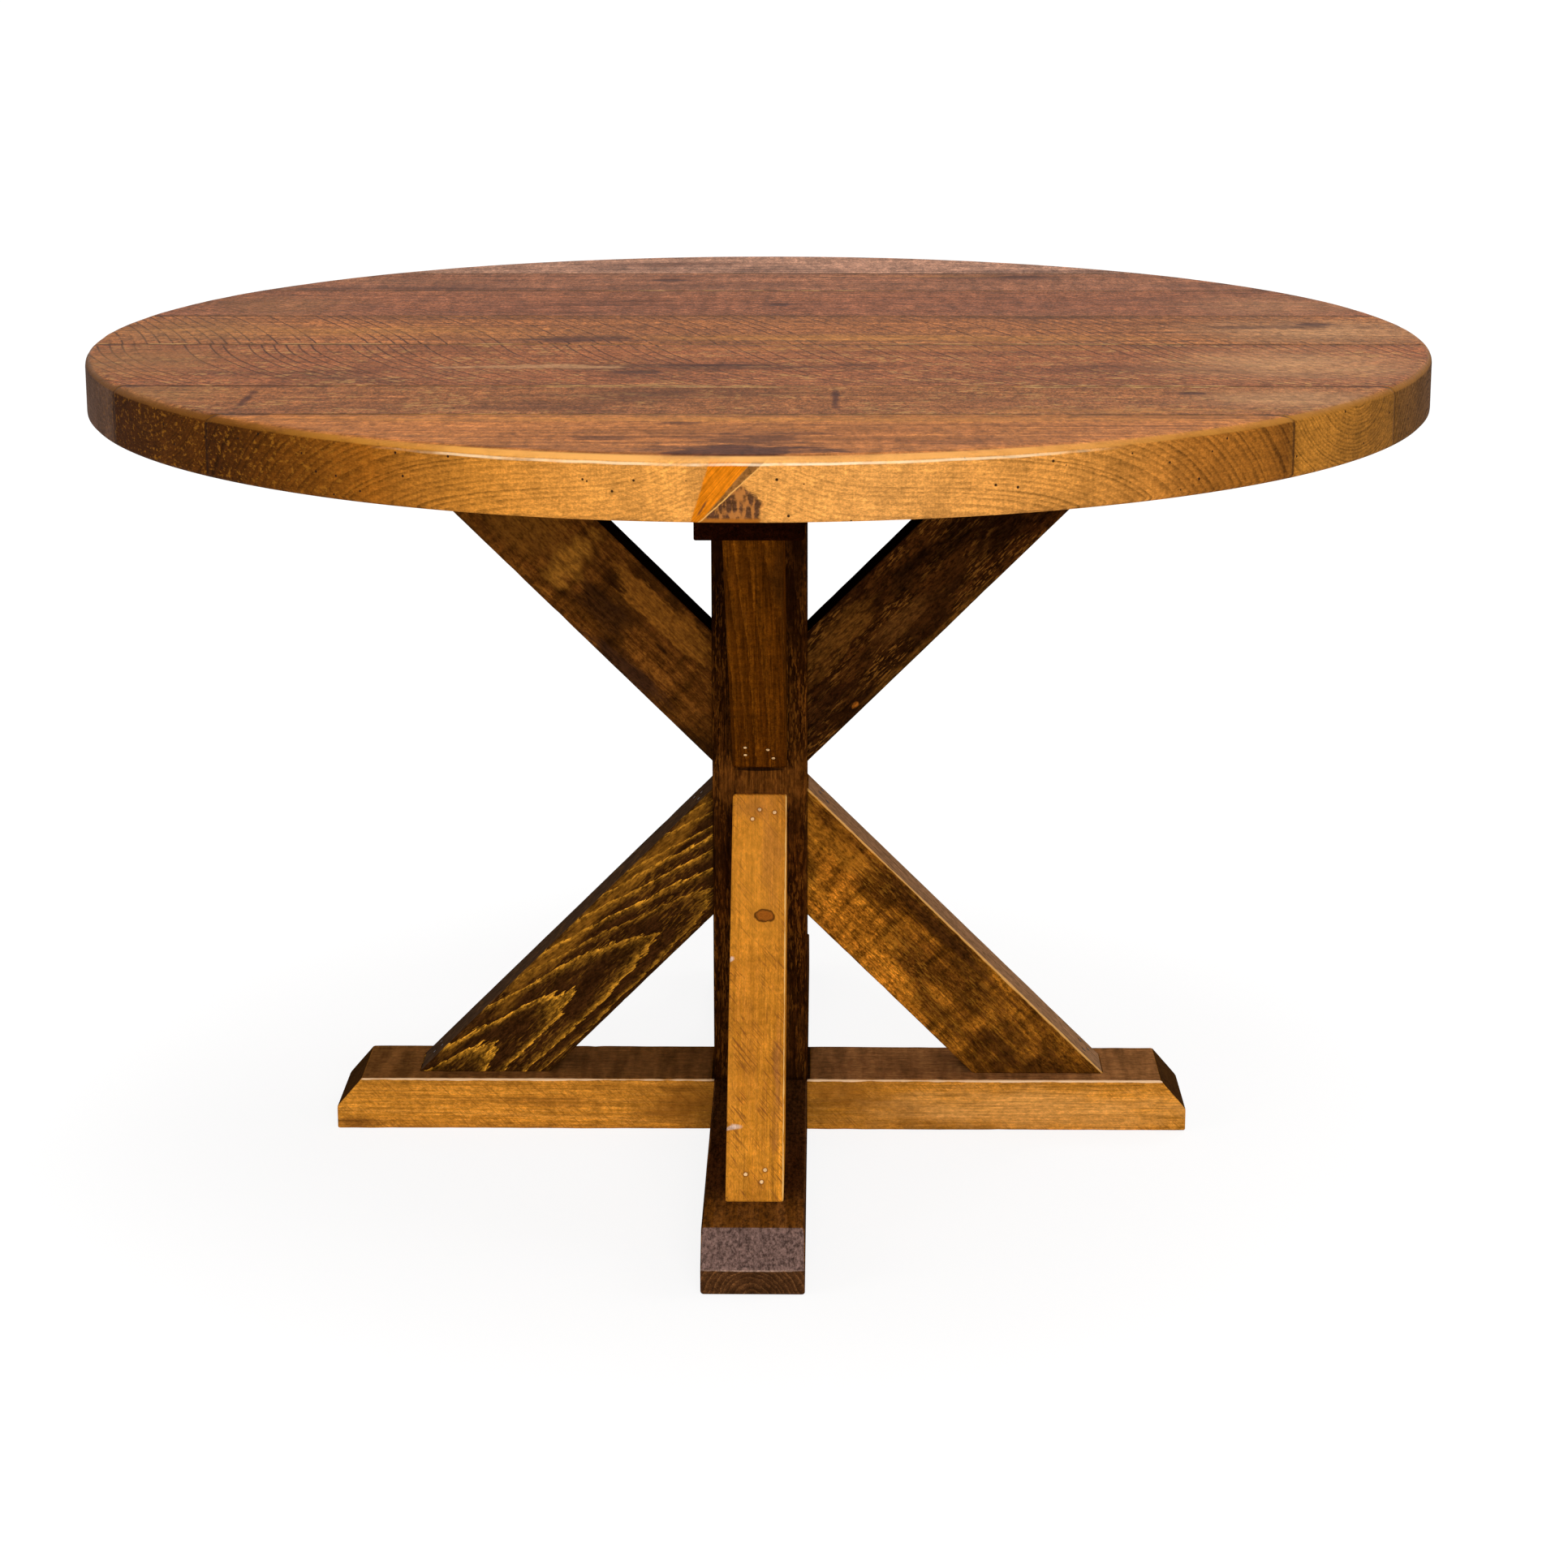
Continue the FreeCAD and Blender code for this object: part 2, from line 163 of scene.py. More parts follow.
def newGroup(name, inputs, outputs):
    t = bpy.data.node_groups.new(name, "ShaderNodeTree")
    for label, value in inputs:
        kind = "NodeSocketVector" if isinstance(value, tuple) else "NodeSocketFloat"
        socket = t.interface.new_socket(name=label, in_out="INPUT", socket_type=kind)
        socket.default_value = value
    for label in outputs:
        t.interface.new_socket(name=label, in_out="OUTPUT", socket_type="NodeSocketFloat")
    return t, t.nodes.new("NodeGroupInput").outputs, t.nodes.new("NodeGroupOutput").inputs


def seeded(t, given):
    return vec(t, "ADD", given["Vector"], join(t, given["Seed"], 0.0, 0.0))


def use(t, group, **values):
    made = t.nodes.new("ShaderNodeGroup")
    made.node_tree = bpy.data.node_groups[group]
    for label, value in values.items():
        feed(t, made.inputs[label], value)
    return made.outputs


def chance(t, value):
    made = t.nodes.new("ShaderNodeTexWhiteNoise")
    made.noise_dimensions = "1D"
    feed(t, made.inputs["W"], value)
    return made.outputs["Value"]


zero = (0.0, 0.0, 0.0)
noLimit = 9.0  # metres, well past the table's edge
# where most values of the specks, of the pepper and of the bands across the grain lie
fineRange = (0.38, 0.62)
pepperRange = (0.40, 0.60)
bandRange = (0.35, 0.65)


def makeTimberGrain():
    # growth rings round a pith line, with long fibres, streaks, stain blotches and pores
    t, given, result = newGroup(
        "timberGrain",
        [("Vector", zero), ("Spacing", 0.005), ("Taper", 0.0), ("Wander", 0.05), ("Rag", 0.002),
         ("Shift", 0.0), ("Uneven", 2.2), ("Seed", 0.0)],
        ["Ring", "Tone", "Fibre", "Streak", "Blotch", "Flecks", "Lines"])
    seed = given["Seed"]
    moved = vec(t, "ADD", given["Vector"], join(t, product(t, seed, 3.1), product(t, seed, 5.7),
                                                product(t, seed, 1.3)))
    slow = cloud(t, stretch(t, moved, 2.4, 7.0, 7.0), 1.5, colour=True)
    drift = vec(t, "SCALE", vec(t, "SUBTRACT", slow, (0.5, 0.5, 0.5)), scale=given["Wander"])
    bent = split(t, vec(t, "ADD", given["Vector"], drift))
    radius = calc(t, "SQRT", total(t, product(t, bent[1], bent[1]), product(t, bent[2], bent[2])))
    # ragged ring edges, drawn out along the fibres
    broad = cloud(t, stretch(t, moved, 17.0, 85.0, 85.0), 3.0, 0.6)
    fine = cloud(t, stretch(t, moved, 75.0, 480.0, 480.0), 2.0)
    ragged = total(t, product(t, minus(t, broad, 0.5), 2.4), product(t, minus(t, fine, 0.5), 1.6))
    reach = total(t, radius, product(t, ragged, given["Rag"]), given["Shift"])
    reach = minus(t, reach, product(t, bent[0], given["Taper"]))
    uneven = cloud(t, None, 1.0, line=total(t, product(t, reach, 60.0), seed))
    phase = total(t, calc(t, "DIVIDE", reach, given["Spacing"]), product(t, uneven, given["Uneven"]))
    feed(t, result["Ring"], calc(t, "FRACT", phase))
    feed(t, result["Tone"], chance(t, total(t, calc(t, "FLOOR", phase), product(t, seed, 17.0))))
    feed(t, result["Fibre"], cloud(t, stretch(t, moved, 16.0, 640.0, 640.0), 3.0, 0.6))
    feed(t, result["Streak"], cloud(t, stretch(t, moved, 3.2, 120.0, 120.0), 3.0, 0.6))
    feed(t, result["Blotch"], cloud(t, stretch(t, moved, 6.0, 16.0, 16.0), 4.0, 0.6))
    pores = cloud(t, stretch(t, moved, 75.0, 1300.0, 1300.0), 1.0)
    feed(t, result["Flecks"], span(t, pores, 0.60, 0.70))
    feed(t, result["Lines"], span(t, cloud(t, stretch(t, moved, 2.2, 430.0, 430.0), 2.0, 0.6), 0.56, 0.67))


def makeStainMottle():
    # stain on rough wood: specks of two sizes, bands across the grain and bare glints
    t, given, result = newGroup("stainMottle", [("Vector", zero), ("Across", 1.0), ("Seed", 0.0)],
                                ["Fine", "Pepper", "Chatter", "Glint"])
    moved = seeded(t, given)
    part = split(t, moved)
    flat = join(t, part[0], product(t, part[1], given["Across"]), part[2])
    feed(t, result["Fine"], cloud(t, stretch(t, flat, 150.0, 330.0, 330.0), 4.0, 0.75))
    feed(t, result["Pepper"], cloud(t, stretch(t, flat, 480.0, 800.0, 800.0), 2.0, 0.65))
    feed(t, result["Chatter"], cloud(t, stretch(t, moved, 80.0, 14.0, 14.0), 3.0, 0.65))
    small = cloud(t, stretch(t, flat, 110.0, 620.0, 620.0), 2.0, 0.6)
    where = cloud(t, stretch(t, moved, 14.0, 34.0, 34.0), 3.0, 0.6)
    feed(t, result["Glint"], product(t, span(t, small, 0.53, 0.61), span(t, where, 0.44, 0.58)))


def makeScratches():
    # short scratches that lean across the grain
    t, given, result = newGroup("scratches", [("Vector", zero), ("Slope", 0.6), ("Seed", 0.0)], ["Mark"])
    moved = seeded(t, given)
    part = split(t, moved)
    across = total(t, part[1], part[2])
    along = total(t, part[0], product(t, across, given["Slope"]))
    fine = cloud(t, join(t, product(t, along, 430.0), product(t, across, 60.0), 0.0), 2.0, 0.6)
    where = cloud(t, stretch(t, moved, 16.0, 40.0, 40.0), 3.0, 0.6)
    feed(t, result["Mark"], product(t, span(t, fine, 0.54, 0.64), span(t, where, 0.38, 0.52)))


def makeSawKerf():
    # arcs that a big round blade leaves while the board feeds past it: a dark line and a pale lip
    t, given, result = newGroup(
        "sawKerf",
        [("Vector", zero), ("Radius", 0.5), ("Centre", 0.1), ("Side", 1.0), ("Spacing", 0.011),
         ("Seed", 0.0)],
        ["Mark", "Lip"])
    part = split(t, given["Vector"])
    across = minus(t, part[1], given["Centre"])
    inside = minus(t, product(t, given["Radius"], given["Radius"]), product(t, across, across))
    bow = calc(t, "SQRT", calc(t, "MAXIMUM", inside, 0.0001))
    along = total(t, part[0], product(t, bow, given["Side"]))
    moved = seeded(t, given)
    shake = cloud(t, stretch(t, moved, 4.0, 2.5, 2.5), 2.0)
    phase = total(t, calc(t, "DIVIDE", along, given["Spacing"]), product(t, shake, 2.0))
    place = calc(t, "FRACT", phase)
    line = span(t, away(t, place, 0.45), 0.13, 0.03)
    lip = span(t, away(t, place, 0.78), 0.18, 0.03)
    patchy = cloud(t, stretch(t, moved, 6.0, 9.0, 9.0), 3.0, 0.6)
    broken = cloud(t, stretch(t, moved, 120.0, 60.0, 60.0), 2.0, 0.6)
    share = product(t, span(t, patchy, 0.26, 0.42), span(t, broken, 0.28, 0.46),
                    span(t, chance(t, calc(t, "FLOOR", phase)), 0.1, 0.7, 0.25, 1.0))
    feed(t, result["Mark"], product(t, line, share))
    feed(t, result["Lip"], product(t, lip, share))


def makeEdgeWearAndHighlight():
    # rubbed arrises of a squared bar, in part a painted highlight: how near a point is to the edge, with a
    # broken border
    t, given, result = newGroup(
        "edgeWearAndHighlight", [("Vector", zero), ("HalfV", 0.04), ("HalfW", 0.04), ("Width", 0.003), ("Seed", 0.0)],
        ["Mask"])
    part = split(t, given["Vector"])
    gapV = minus(t, given["HalfV"], calc(t, "ABSOLUTE", part[1]))
    gapW = minus(t, given["HalfW"], calc(t, "ABSOLUTE", part[2]))
    moved = seeded(t, given)
    rough = cloud(t, stretch(t, moved, 45.0, 120.0, 120.0), 3.0, 0.6)
    slow = cloud(t, stretch(t, moved, 6.0, 9.0, 9.0), 2.0)
    limit = minus(t, total(t, product(t, rough, 1.6), product(t, slow, 1.6)), 0.6)
    wornAndHighlight = minus(t, limit, calc(t, "DIVIDE", calc(t, "MAXIMUM", gapV, gapW), given["Width"]))
    feed(t, result["Mask"], span(t, wornAndHighlight, -0.25, 0.25))


def makeKnot():
    # a branch cut across: its heart, the wood stained round it, its rings and how far it bends the grain
    t, given, result = newGroup(
        "knot", [("Vector", zero), ("Centre", zero), ("Size", (0.01, 0.01, 0.01)), ("Seed", 0.0)],
        ["Core", "Halo", "Rings", "Swell"])
    off = vec(t, "DIVIDE", vec(t, "SUBTRACT", given["Vector"], given["Centre"]), given["Size"])
    rough = cloud(t, stretch(t, seeded(t, given), 70.0, 110.0, 110.0), 2.0)
    far = total(t, vec(t, "LENGTH", off, out=1), product(t, minus(t, rough, 0.5), 1.3))
    feed(t, result["Core"], span(t, far, 1.12, 0.66))
    feed(t, result["Halo"], span(t, far, 2.6, 0.9))
    feed(t, result["Rings"], calc(t, "FRACT", product(t, far, 4.0)))
    feed(t, result["Swell"], hump(t, far, 0.35))


def makeStainPatch():
    # one patch of stain with a ragged border
    t, given, result = newGroup(
        "stainPatch",
        [("Vector", zero), ("Centre", zero), ("Size", (0.05, 0.02, 0.1)), ("Rag", 1.6), ("Soft", 0.5),
         ("Seed", 0.0)],
        ["Mask"])
    off = vec(t, "DIVIDE", vec(t, "SUBTRACT", given["Vector"], given["Centre"]), given["Size"])
    rough = cloud(t, stretch(t, seeded(t, given), 22.0, 70.0, 70.0), 4.0, 0.65)
    far = total(t, vec(t, "LENGTH", off, out=1), product(t, minus(t, rough, 0.5), given["Rag"]))
    feed(t, result["Mask"], span(t, far, 1.0, minus(t, 1.0, given["Soft"])))


def makeSeamLine():
    # the joint between two boards: a dark groove on top, a thin line on the rim and torn slivers
    t, given, result = newGroup(
        "seamLine", [("Vector", zero), ("Front", -noLimit), ("Back", noLimit), ("Seed", 0.0)],
        ["Groove", "Joint", "Torn"])
    part = split(t, given["Vector"])
    gapFront = away(t, part[1], given["Front"])
    gapBack = away(t, part[1], given["Back"])
    gap = calc(t, "MINIMUM", gapFront, gapBack)
    wobble = cloud(t, stretch(t, given["Vector"], 50.0, 9.0, 9.0), 3.0, 0.6)
    wide = product(t, span(t, wobble, 0.3, 0.7, 0.3, 1.0), 0.0052)
    feed(t, result["Groove"], span(t, calc(t, "DIVIDE", gap, wide), 1.2, 0.5))
    feed(t, result["Joint"], span(t, gap, 0.0014, 0.0004))
    torn = cloud(t, stretch(t, seeded(t, given), 48.0, 130.0, 1.0), 3.0, 0.6)
    feed(t, result["Torn"], product(t, span(t, torn, 0.46, 0.54), span(t, gap, 0.0066, 0.0042)))


for makeGroup in (makeTimberGrain, makeStainMottle, makeScratches, makeSawKerf, makeEdgeWearAndHighlight, makeKnot,
                  makeStainPatch, makeSeamLine):
    makeGroup()
print("shared effects ready:", len(bpy.data.node_groups))


def axesOf(origin, along, across):
    s = Vector(along).normalized()
    v = Vector(across).normalized()
    return Vector(origin), s, v, s.cross(v)


def placed(t, axes):
    # the piece's own coordinates: along the grain, then two across it
    origin, s, v, w = axes
    turn = Matrix((s, v, w))
    made = t.nodes.new("ShaderNodeMapping")
    made.vector_type = "POINT"
    made.inputs["Rotation"].default_value = turn.to_euler("XYZ")
    made.inputs["Location"].default_value = -(turn @ origin)
    source = t.nodes.new("ShaderNodeTexCoord")
    t.links.new(source.outputs["Object"], made.inputs["Vector"])
    return made.outputs[0]


def facing(t):
    return t.nodes.new("ShaderNodeNewGeometry").outputs["Normal"]


def spot(at, size, shade, show, rag=1.6, soft=0.5):
    # a patch of stain: its place and half sizes are along the grain, then the two across it
    return {"at": at, "size": size, "colour": shade, "show": show, "rag": rag, "soft": soft}


def face(to, shade, share=0.9, grit=0.35, bands=0.0, start=-noLimit):
    # a side with its own colour, from a place along the bar onwards: stain, and on some sides painted shade
    return {"to": to, "colour": shade, "share": share, "grit": grit, "bands": bands, "start": start}


plainLook = {"spacing": 0.006, "taper": 0.03, "wander": 0.06, "rag": 0.003, "pith": (0.04, 0.03),
             "ringPower": 2.0, "ringShow": 0.6, "soak": (0.48, 0.64), "soakShow": 0.6, "fibreShow": 0.32,
             "streakShow": 0.25, "fineShow": 0.35, "chatterShow": 0.12, "fleckShow": 0.4, "glintShow": 0.0,
             "glint": (0.5, 0.25, 0.06), "scratchShow": 0.0, "slope": 0.9, "gloss": 0.45, "specular": 0.0,
             "bump": 0.4, "edgeLineShow": 0.0, "edgeLineWidth": 0.002, "across": 1.0, "pepperShow": 0.16,
             "lineShow": 0.2, "ringBreak": 0.3, "lean": 0.0, "uneven": 2.2, "ringShift": 0.0,
             "tint": (1.0, 0.62, 0.36, 1.0), "bumpDepth": 0.001, "wearCoat": 0.6,
             "wearGloss": 0.25, "nailStain": 0.0036}


def finishTimber(name, axes, look):
    look = dict(plainLook, **look)
    material = bpy.data.materials.new(name)
    material.use_nodes = True
    t = material.node_tree
    shader = t.nodes["Principled BSDF"]
    here = placed(t, axes)
    seed = look["seed"]
    # knots push the rings aside
    knots = []
    shift = look["ringShift"]
    for knot in look.get("knots", ()):
        made = use(t, "knot", Vector=here, Centre=knot["at"], Size=knot["size"], Seed=seed + knot["at"][0])
        shift = total(t, shift, product(t, made["Swell"], knot["swell"]))
        knots.append((knot, made))
    fromPith = vec(t, "SUBTRACT", here, (0.0, look["pith"][0], look["pith"][1]))
    if look["lean"] != 0.0:
        drift = product(t, split(t, here)[0], look["lean"])
        fromPith = vec(t, "SUBTRACT", fromPith, join(t, 0.0, drift, 0.0))
    grain = use(t, "timberGrain", Vector=fromPith, Spacing=look["spacing"], Taper=look["taper"],
                Wander=look["wander"], Rag=look["rag"], Shift=shift, Uneven=look["uneven"], Seed=seed)
    mottle = use(t, "stainMottle", Vector=here, Across=look["across"], Seed=seed)
    ring = calc(t, "POWER", grain["Ring"], look["ringPower"])
    strength = total(t, product(t, grain["Tone"], 0.5), 0.5)
    broken = span(t, mottle["Fine"], 0.42, 0.54, 1.0 - look["ringBreak"], 1.0)
    colour = mix(t, product(t, ring, strength, broken, look["ringShow"]), look["body"], look["gold"])
    height = total(t, product(t, ring, 0.25), product(t, grain["Fibre"], 0.35),
                   product(t, mottle["Fine"], 0.5))
    # stain soaks in unevenly and lies in the pores
    soak = total(t, grain["Blotch"], product(t, minus(t, grain["Fibre"], 0.5), 0.35),
                 product(t, minus(t, mottle["Fine"], 0.5), 0.25))
    colour = mix(t, product(t, span(t, soak, *look["soak"]), look["soakShow"]), colour, look["deep"])
    colour = vary(t, colour, grain["Fibre"], look["fibreShow"])
    colour = vary(t, colour, grain["Streak"], look["streakShow"])
    colour = vary(t, colour, mottle["Fine"], look["fineShow"], *fineRange)
    colour = vary(t, colour, mottle["Pepper"], look["pepperShow"], *pepperRange)
    colour = vary(t, colour, mottle["Chatter"], look["chatterShow"], *bandRange)
    colour = mix(t, product(t, grain["Lines"], look["lineShow"]), colour, look["deep"])
    colour = mix(t, product(t, grain["Flecks"], look["fleckShow"]), colour, look["deep"])
    if look["glintShow"] > 0.0:
        colour = mix(t, product(t, mottle["Glint"], look["glintShow"]), colour, look["glint"])
    if "saw" in look:
        saw = look["saw"]
        kerf = use(t, "sawKerf", Vector=here, Radius=saw["radius"], Centre=saw["centre"], Side=saw["side"],
                   Spacing=saw["spacing"], Seed=seed)
        colour = mix(t, product(t, kerf["Mark"], saw["show"]), colour, look["deep"])
        colour = vec(t, "SCALE", colour, scale=total(t, 1.0, product(t, kerf["Lip"], saw["lip"])))
        height = minus(t, height, product(t, kerf["Mark"], saw["bump"]))
    if look["scratchShow"] > 0.0:
        made = use(t, "scratches", Vector=here, Slope=look["slope"], Seed=seed)
        colour = mix(t, product(t, made["Mark"], look["scratchShow"]), colour, look["deep"])
        height = minus(t, height, product(t, made["Mark"], 0.6))
    for patch in look.get("patches", ()):
        made = use(t, "stainPatch", Vector=here, Centre=patch["at"], Size=patch["size"], Rag=patch["rag"],
                   Soft=patch["soft"], Seed=seed + patch["at"][1])
        shade = vary(t, patch["colour"], mottle["Fine"], look["fineShow"], *fineRange)
        shade = vary(t, shade, grain["Fibre"], look["fibreShow"])
        colour = mix(t, product(t, made["Mask"], patch["show"]), colour, shade)
    for knot, made in knots:
        colour = mix(t, product(t, made["Halo"], knot["haloShow"]), colour, knot["halo"])
        heart = mix(t, product(t, made["Rings"], 0.35), knot["colour"], knot["ringColour"])
        colour = mix(t, product(t, made["Core"], knot["show"]), colour, heart)
        outline = product(t, made["Core"], minus(t, 1.0, made["Core"]), 3.6)
        colour = mix(t, product(t, outline, knot["show"]), colour, knot["ringColour"])
        height = minus(t, height, product(t, made["Core"], 0.4))
    for rule in look.get("faces", ()):
        toward = vec(t, "DOT_PRODUCT", facing(t), rule["to"], out=1)
        shade = vary(t, rule["colour"], mottle["Fine"], rule["grit"], *fineRange)
        shade = vary(t, shade, grain["Fibre"], 0.3)
        shade = vary(t, shade, mottle["Chatter"], rule["bands"], *bandRange)
        inside = span(t, split(t, here)[0], rule["start"] - 0.03, rule["start"] + 0.03)
        colour = mix(t, product(t, span(t, toward, 0.88, 0.95), inside, rule["share"]), colour, shade)
    if "rim" in look:
        colour, height, coat, edge = paintTop(t, here, mottle, colour, height, look)
        feed(t, shader.inputs["Coat Weight"], coat)
        shader.inputs["Coat Roughness"].default_value = look["rim"]["coatGloss"]
    for at in look.get("nails", ()):
        made = use(t, "stainPatch", Vector=here, Centre=at, Size=(look["nailStain"],) * 3, Rag=0.5,
                   Soft=0.6, Seed=seed)
        colour = mix(t, product(t, made["Mask"], 0.8), colour, look["deep"])
    # the pale edge line: wear, and in part a painted highlight on the edge that faces the light
    if look["edgeLineShow"] > 0.0:
        wear = use(t, "edgeWearAndHighlight", Vector=here, HalfV=look["half"][0], HalfW=look["half"][1],
                   Width=look["edgeLineWidth"], Seed=seed)
        mask = product(t, wear["Mask"], look["edgeLineShow"])
        if "edgeLineSide" in look:
            part = split(t, here)
            mask = product(t, mask, span(t, product(t, part[1], look["edgeLineSide"][0]), 0.0, 0.01),
                           span(t, product(t, part[2], look["edgeLineSide"][1]), 0.0, 0.01))
        colour = mix(t, mask, colour, look["wornAndHighlight"])
        feed(t, shader.inputs["Coat Weight"], product(t, mask, look["wearCoat"]))
        shader.inputs["Coat Roughness"].default_value = look["wearGloss"]
    feed(t, shader.inputs["Base Color"], colour)
    rough = span(t, grain["Fibre"], 0.25, 0.75, look["gloss"] - 0.06, look["gloss"] + 0.1, False)
    if "rim" in look:
        rough = total(t, rough, product(t, edge, 0.4))
    feed(t, shader.inputs["Roughness"], rough)
    shader.inputs["Specular IOR Level"].default_value = look["specular"]
    shader.inputs["Specular Tint"].default_value = look["tint"]
    bump = t.nodes.new("ShaderNodeBump")
    bump.inputs["Strength"].default_value = look["bump"]
    bump.inputs["Distance"].default_value = look["bumpDepth"]
    feed(t, bump.inputs["Height"], height)
    feed(t, shader.inputs["Normal"], bump.outputs[0])
    return material


def paintTop(t, here, mottle, colour, height, look):
    # seams on the top, then the sawn rim with its ring lines, worm holes, rubbed upper edge and a painted
    # highlight line along it
    rim = look["rim"]
    part = split(t, here)
    level = split(t, facing(t))[2]
    edge = span(t, level, 0.86, 0.45)
    seam = use(t, "seamLine", Vector=here, Front=look["seams"][0], Back=look["seams"][1], Seed=look["seed"])
    for side, start, stop in look.get("slivers", ()):
        inside = product(t, span(t, part[0], start - 0.02, start + 0.01),
                         span(t, part[0], stop + 0.02, stop - 0.01))
        near = span(t, product(t, minus(t, part[1], look["middle"]), side), -0.005, 0.005)
        colour = mix(t, product(t, seam["Torn"], inside, near, 0.8), colour, look["sliver"])
    colour = mix(t, product(t, seam["Groove"], 0.85), colour, rim["groove"])
    height = minus(t, height, product(t, seam["Groove"], 0.8))
    sideways = span(t, part[0], -rim["reach"], rim["reach"], smooth=False)
    backward = span(t, part[1], *rim["backFrom"])
    golden = mix(t, backward, ramp(t, sideways, rim["tones"]), rim["backTone"])
    # rings round the board's own pith, lifted beside a branch
    lift = 0.0
    if "spike" in look:
        spike = look["spike"]
        off = calc(t, "DIVIDE", minus(t, part[0], spike["middle"]), spike["reach"])
        lift = product(t, hump(t, off, 1.0), spike["lift"])
    fromPith = vec(t, "SUBTRACT", here, (0.0, look["rimPith"][0], look["rimPith"][1]))
    rings = use(t, "timberGrain", Vector=fromPith, Spacing=look.get("rimSpacing", rim["spacing"]),
                Wander=0.006, Rag=0.0005, Shift=lift, Seed=look["seed"])
    line = product(t, span(t, rings["Ring"], 0.35, 0.85), total(t, product(t, rings["Tone"], 0.6), 0.4),
                   span(t, part[0], *rim["faintLeft"]),
                   span(t, calc(t, "ABSOLUTE", part[0]), *rim["faintMiddle"]))
    gaps = cloud(t, stretch(t, here, 240.0, 240.0, 240.0), 2.0, 0.6)
    lined = product(t, line, span(t, gaps, 0.34, 0.58, 0.45, 1.0))
    golden = vec(t, "SCALE", golden, scale=span(t, lined, 0.0, 1.0, 1.12, 1.0 - rim["lineShow"], False))
    golden = vary(t, golden, mottle["Fine"], 0.18, *fineRange)
    golden = vary(t, golden, mottle["Pepper"], 0.16, *pepperRange)
    for flat, upright, detail, share in rim["clouds"]:
        golden = vary(t, golden, cloud(t, stretch(t, here, flat, flat, upright), detail, 0.6), share)
    # torn end grain beside the rings catches the light towards the left
    rough = span(t, cloud(t, stretch(t, here, 230.0, 230.0, 290.0), 2.0), 0.52, 0.64)
    torn = product(t, rough, span(t, mottle["Fine"], 0.44, 0.54), span(t, part[0], *rim["tornRight"]),
                   span(t, part[0], *rim["tornLeft"]), span(t, part[1], *rim["tornBack"]))
    golden = mix(t, product(t, torn, rim["tornShow"]), golden, rim["glint"])
    golden = mix(t, product(t, seam["Joint"], 0.6), golden, rim["joint"])
    cells = t.nodes.new("ShaderNodeTexVoronoi")
    cells.inputs["Scale"].default_value = rim["holeScale"]
    feed(t, cells.inputs["Vector"], here)
    hole = span(t, cells.outputs["Distance"], *rim["holeSize"])
    golden = mix(t, product(t, hole, 0.95), golden, rim["hole"])
    colour = mix(t, edge, colour, golden)
    if "spike" in look:
        colour = paintSpikeKnot(t, here, level, colour, spike)
    # the rounded upper edge is rubbed golden, with a painted highlight line below it at the front
    patchy = cloud(t, stretch(t, here, 24.0, 24.0, 60.0), 3.0, 0.6)
    band = product(t, span(t, level, 0.30, 0.48), span(t, level, 0.96, 0.80))
    rub = product(t, band, span(t, patchy, 0.34, 0.6, 0.6, 1.0), rim["rubShow"])
    tone = mix(t, backward, ramp(t, sideways, rim["rubTones"]), rim["backRub"])
    colour = mix(t, rub, colour, tone)
    # the pale line low on the rounded edge at the front is a painted highlight; it also carries a gloss coat
    bareAndPaintedHighlight = product(t, span(t, level, 0.10, 0.19), span(t, level, 0.40, 0.27),
                   span(t, part[1], *rim["highlightFront"]), span(t, patchy, 0.34, 0.56, 0.35, 1.0))
    colour = mix(t, product(t, bareAndPaintedHighlight, rim["highlightShow"]), colour, rim["bareAndPaintedHighlight"])
    bite = product(t, total(t, product(t, lined, -rim["bump"]), product(t, hole, -1.0), torn), edge)
    return colour, total(t, height, bite), product(t, bareAndPaintedHighlight, 0.5), edge


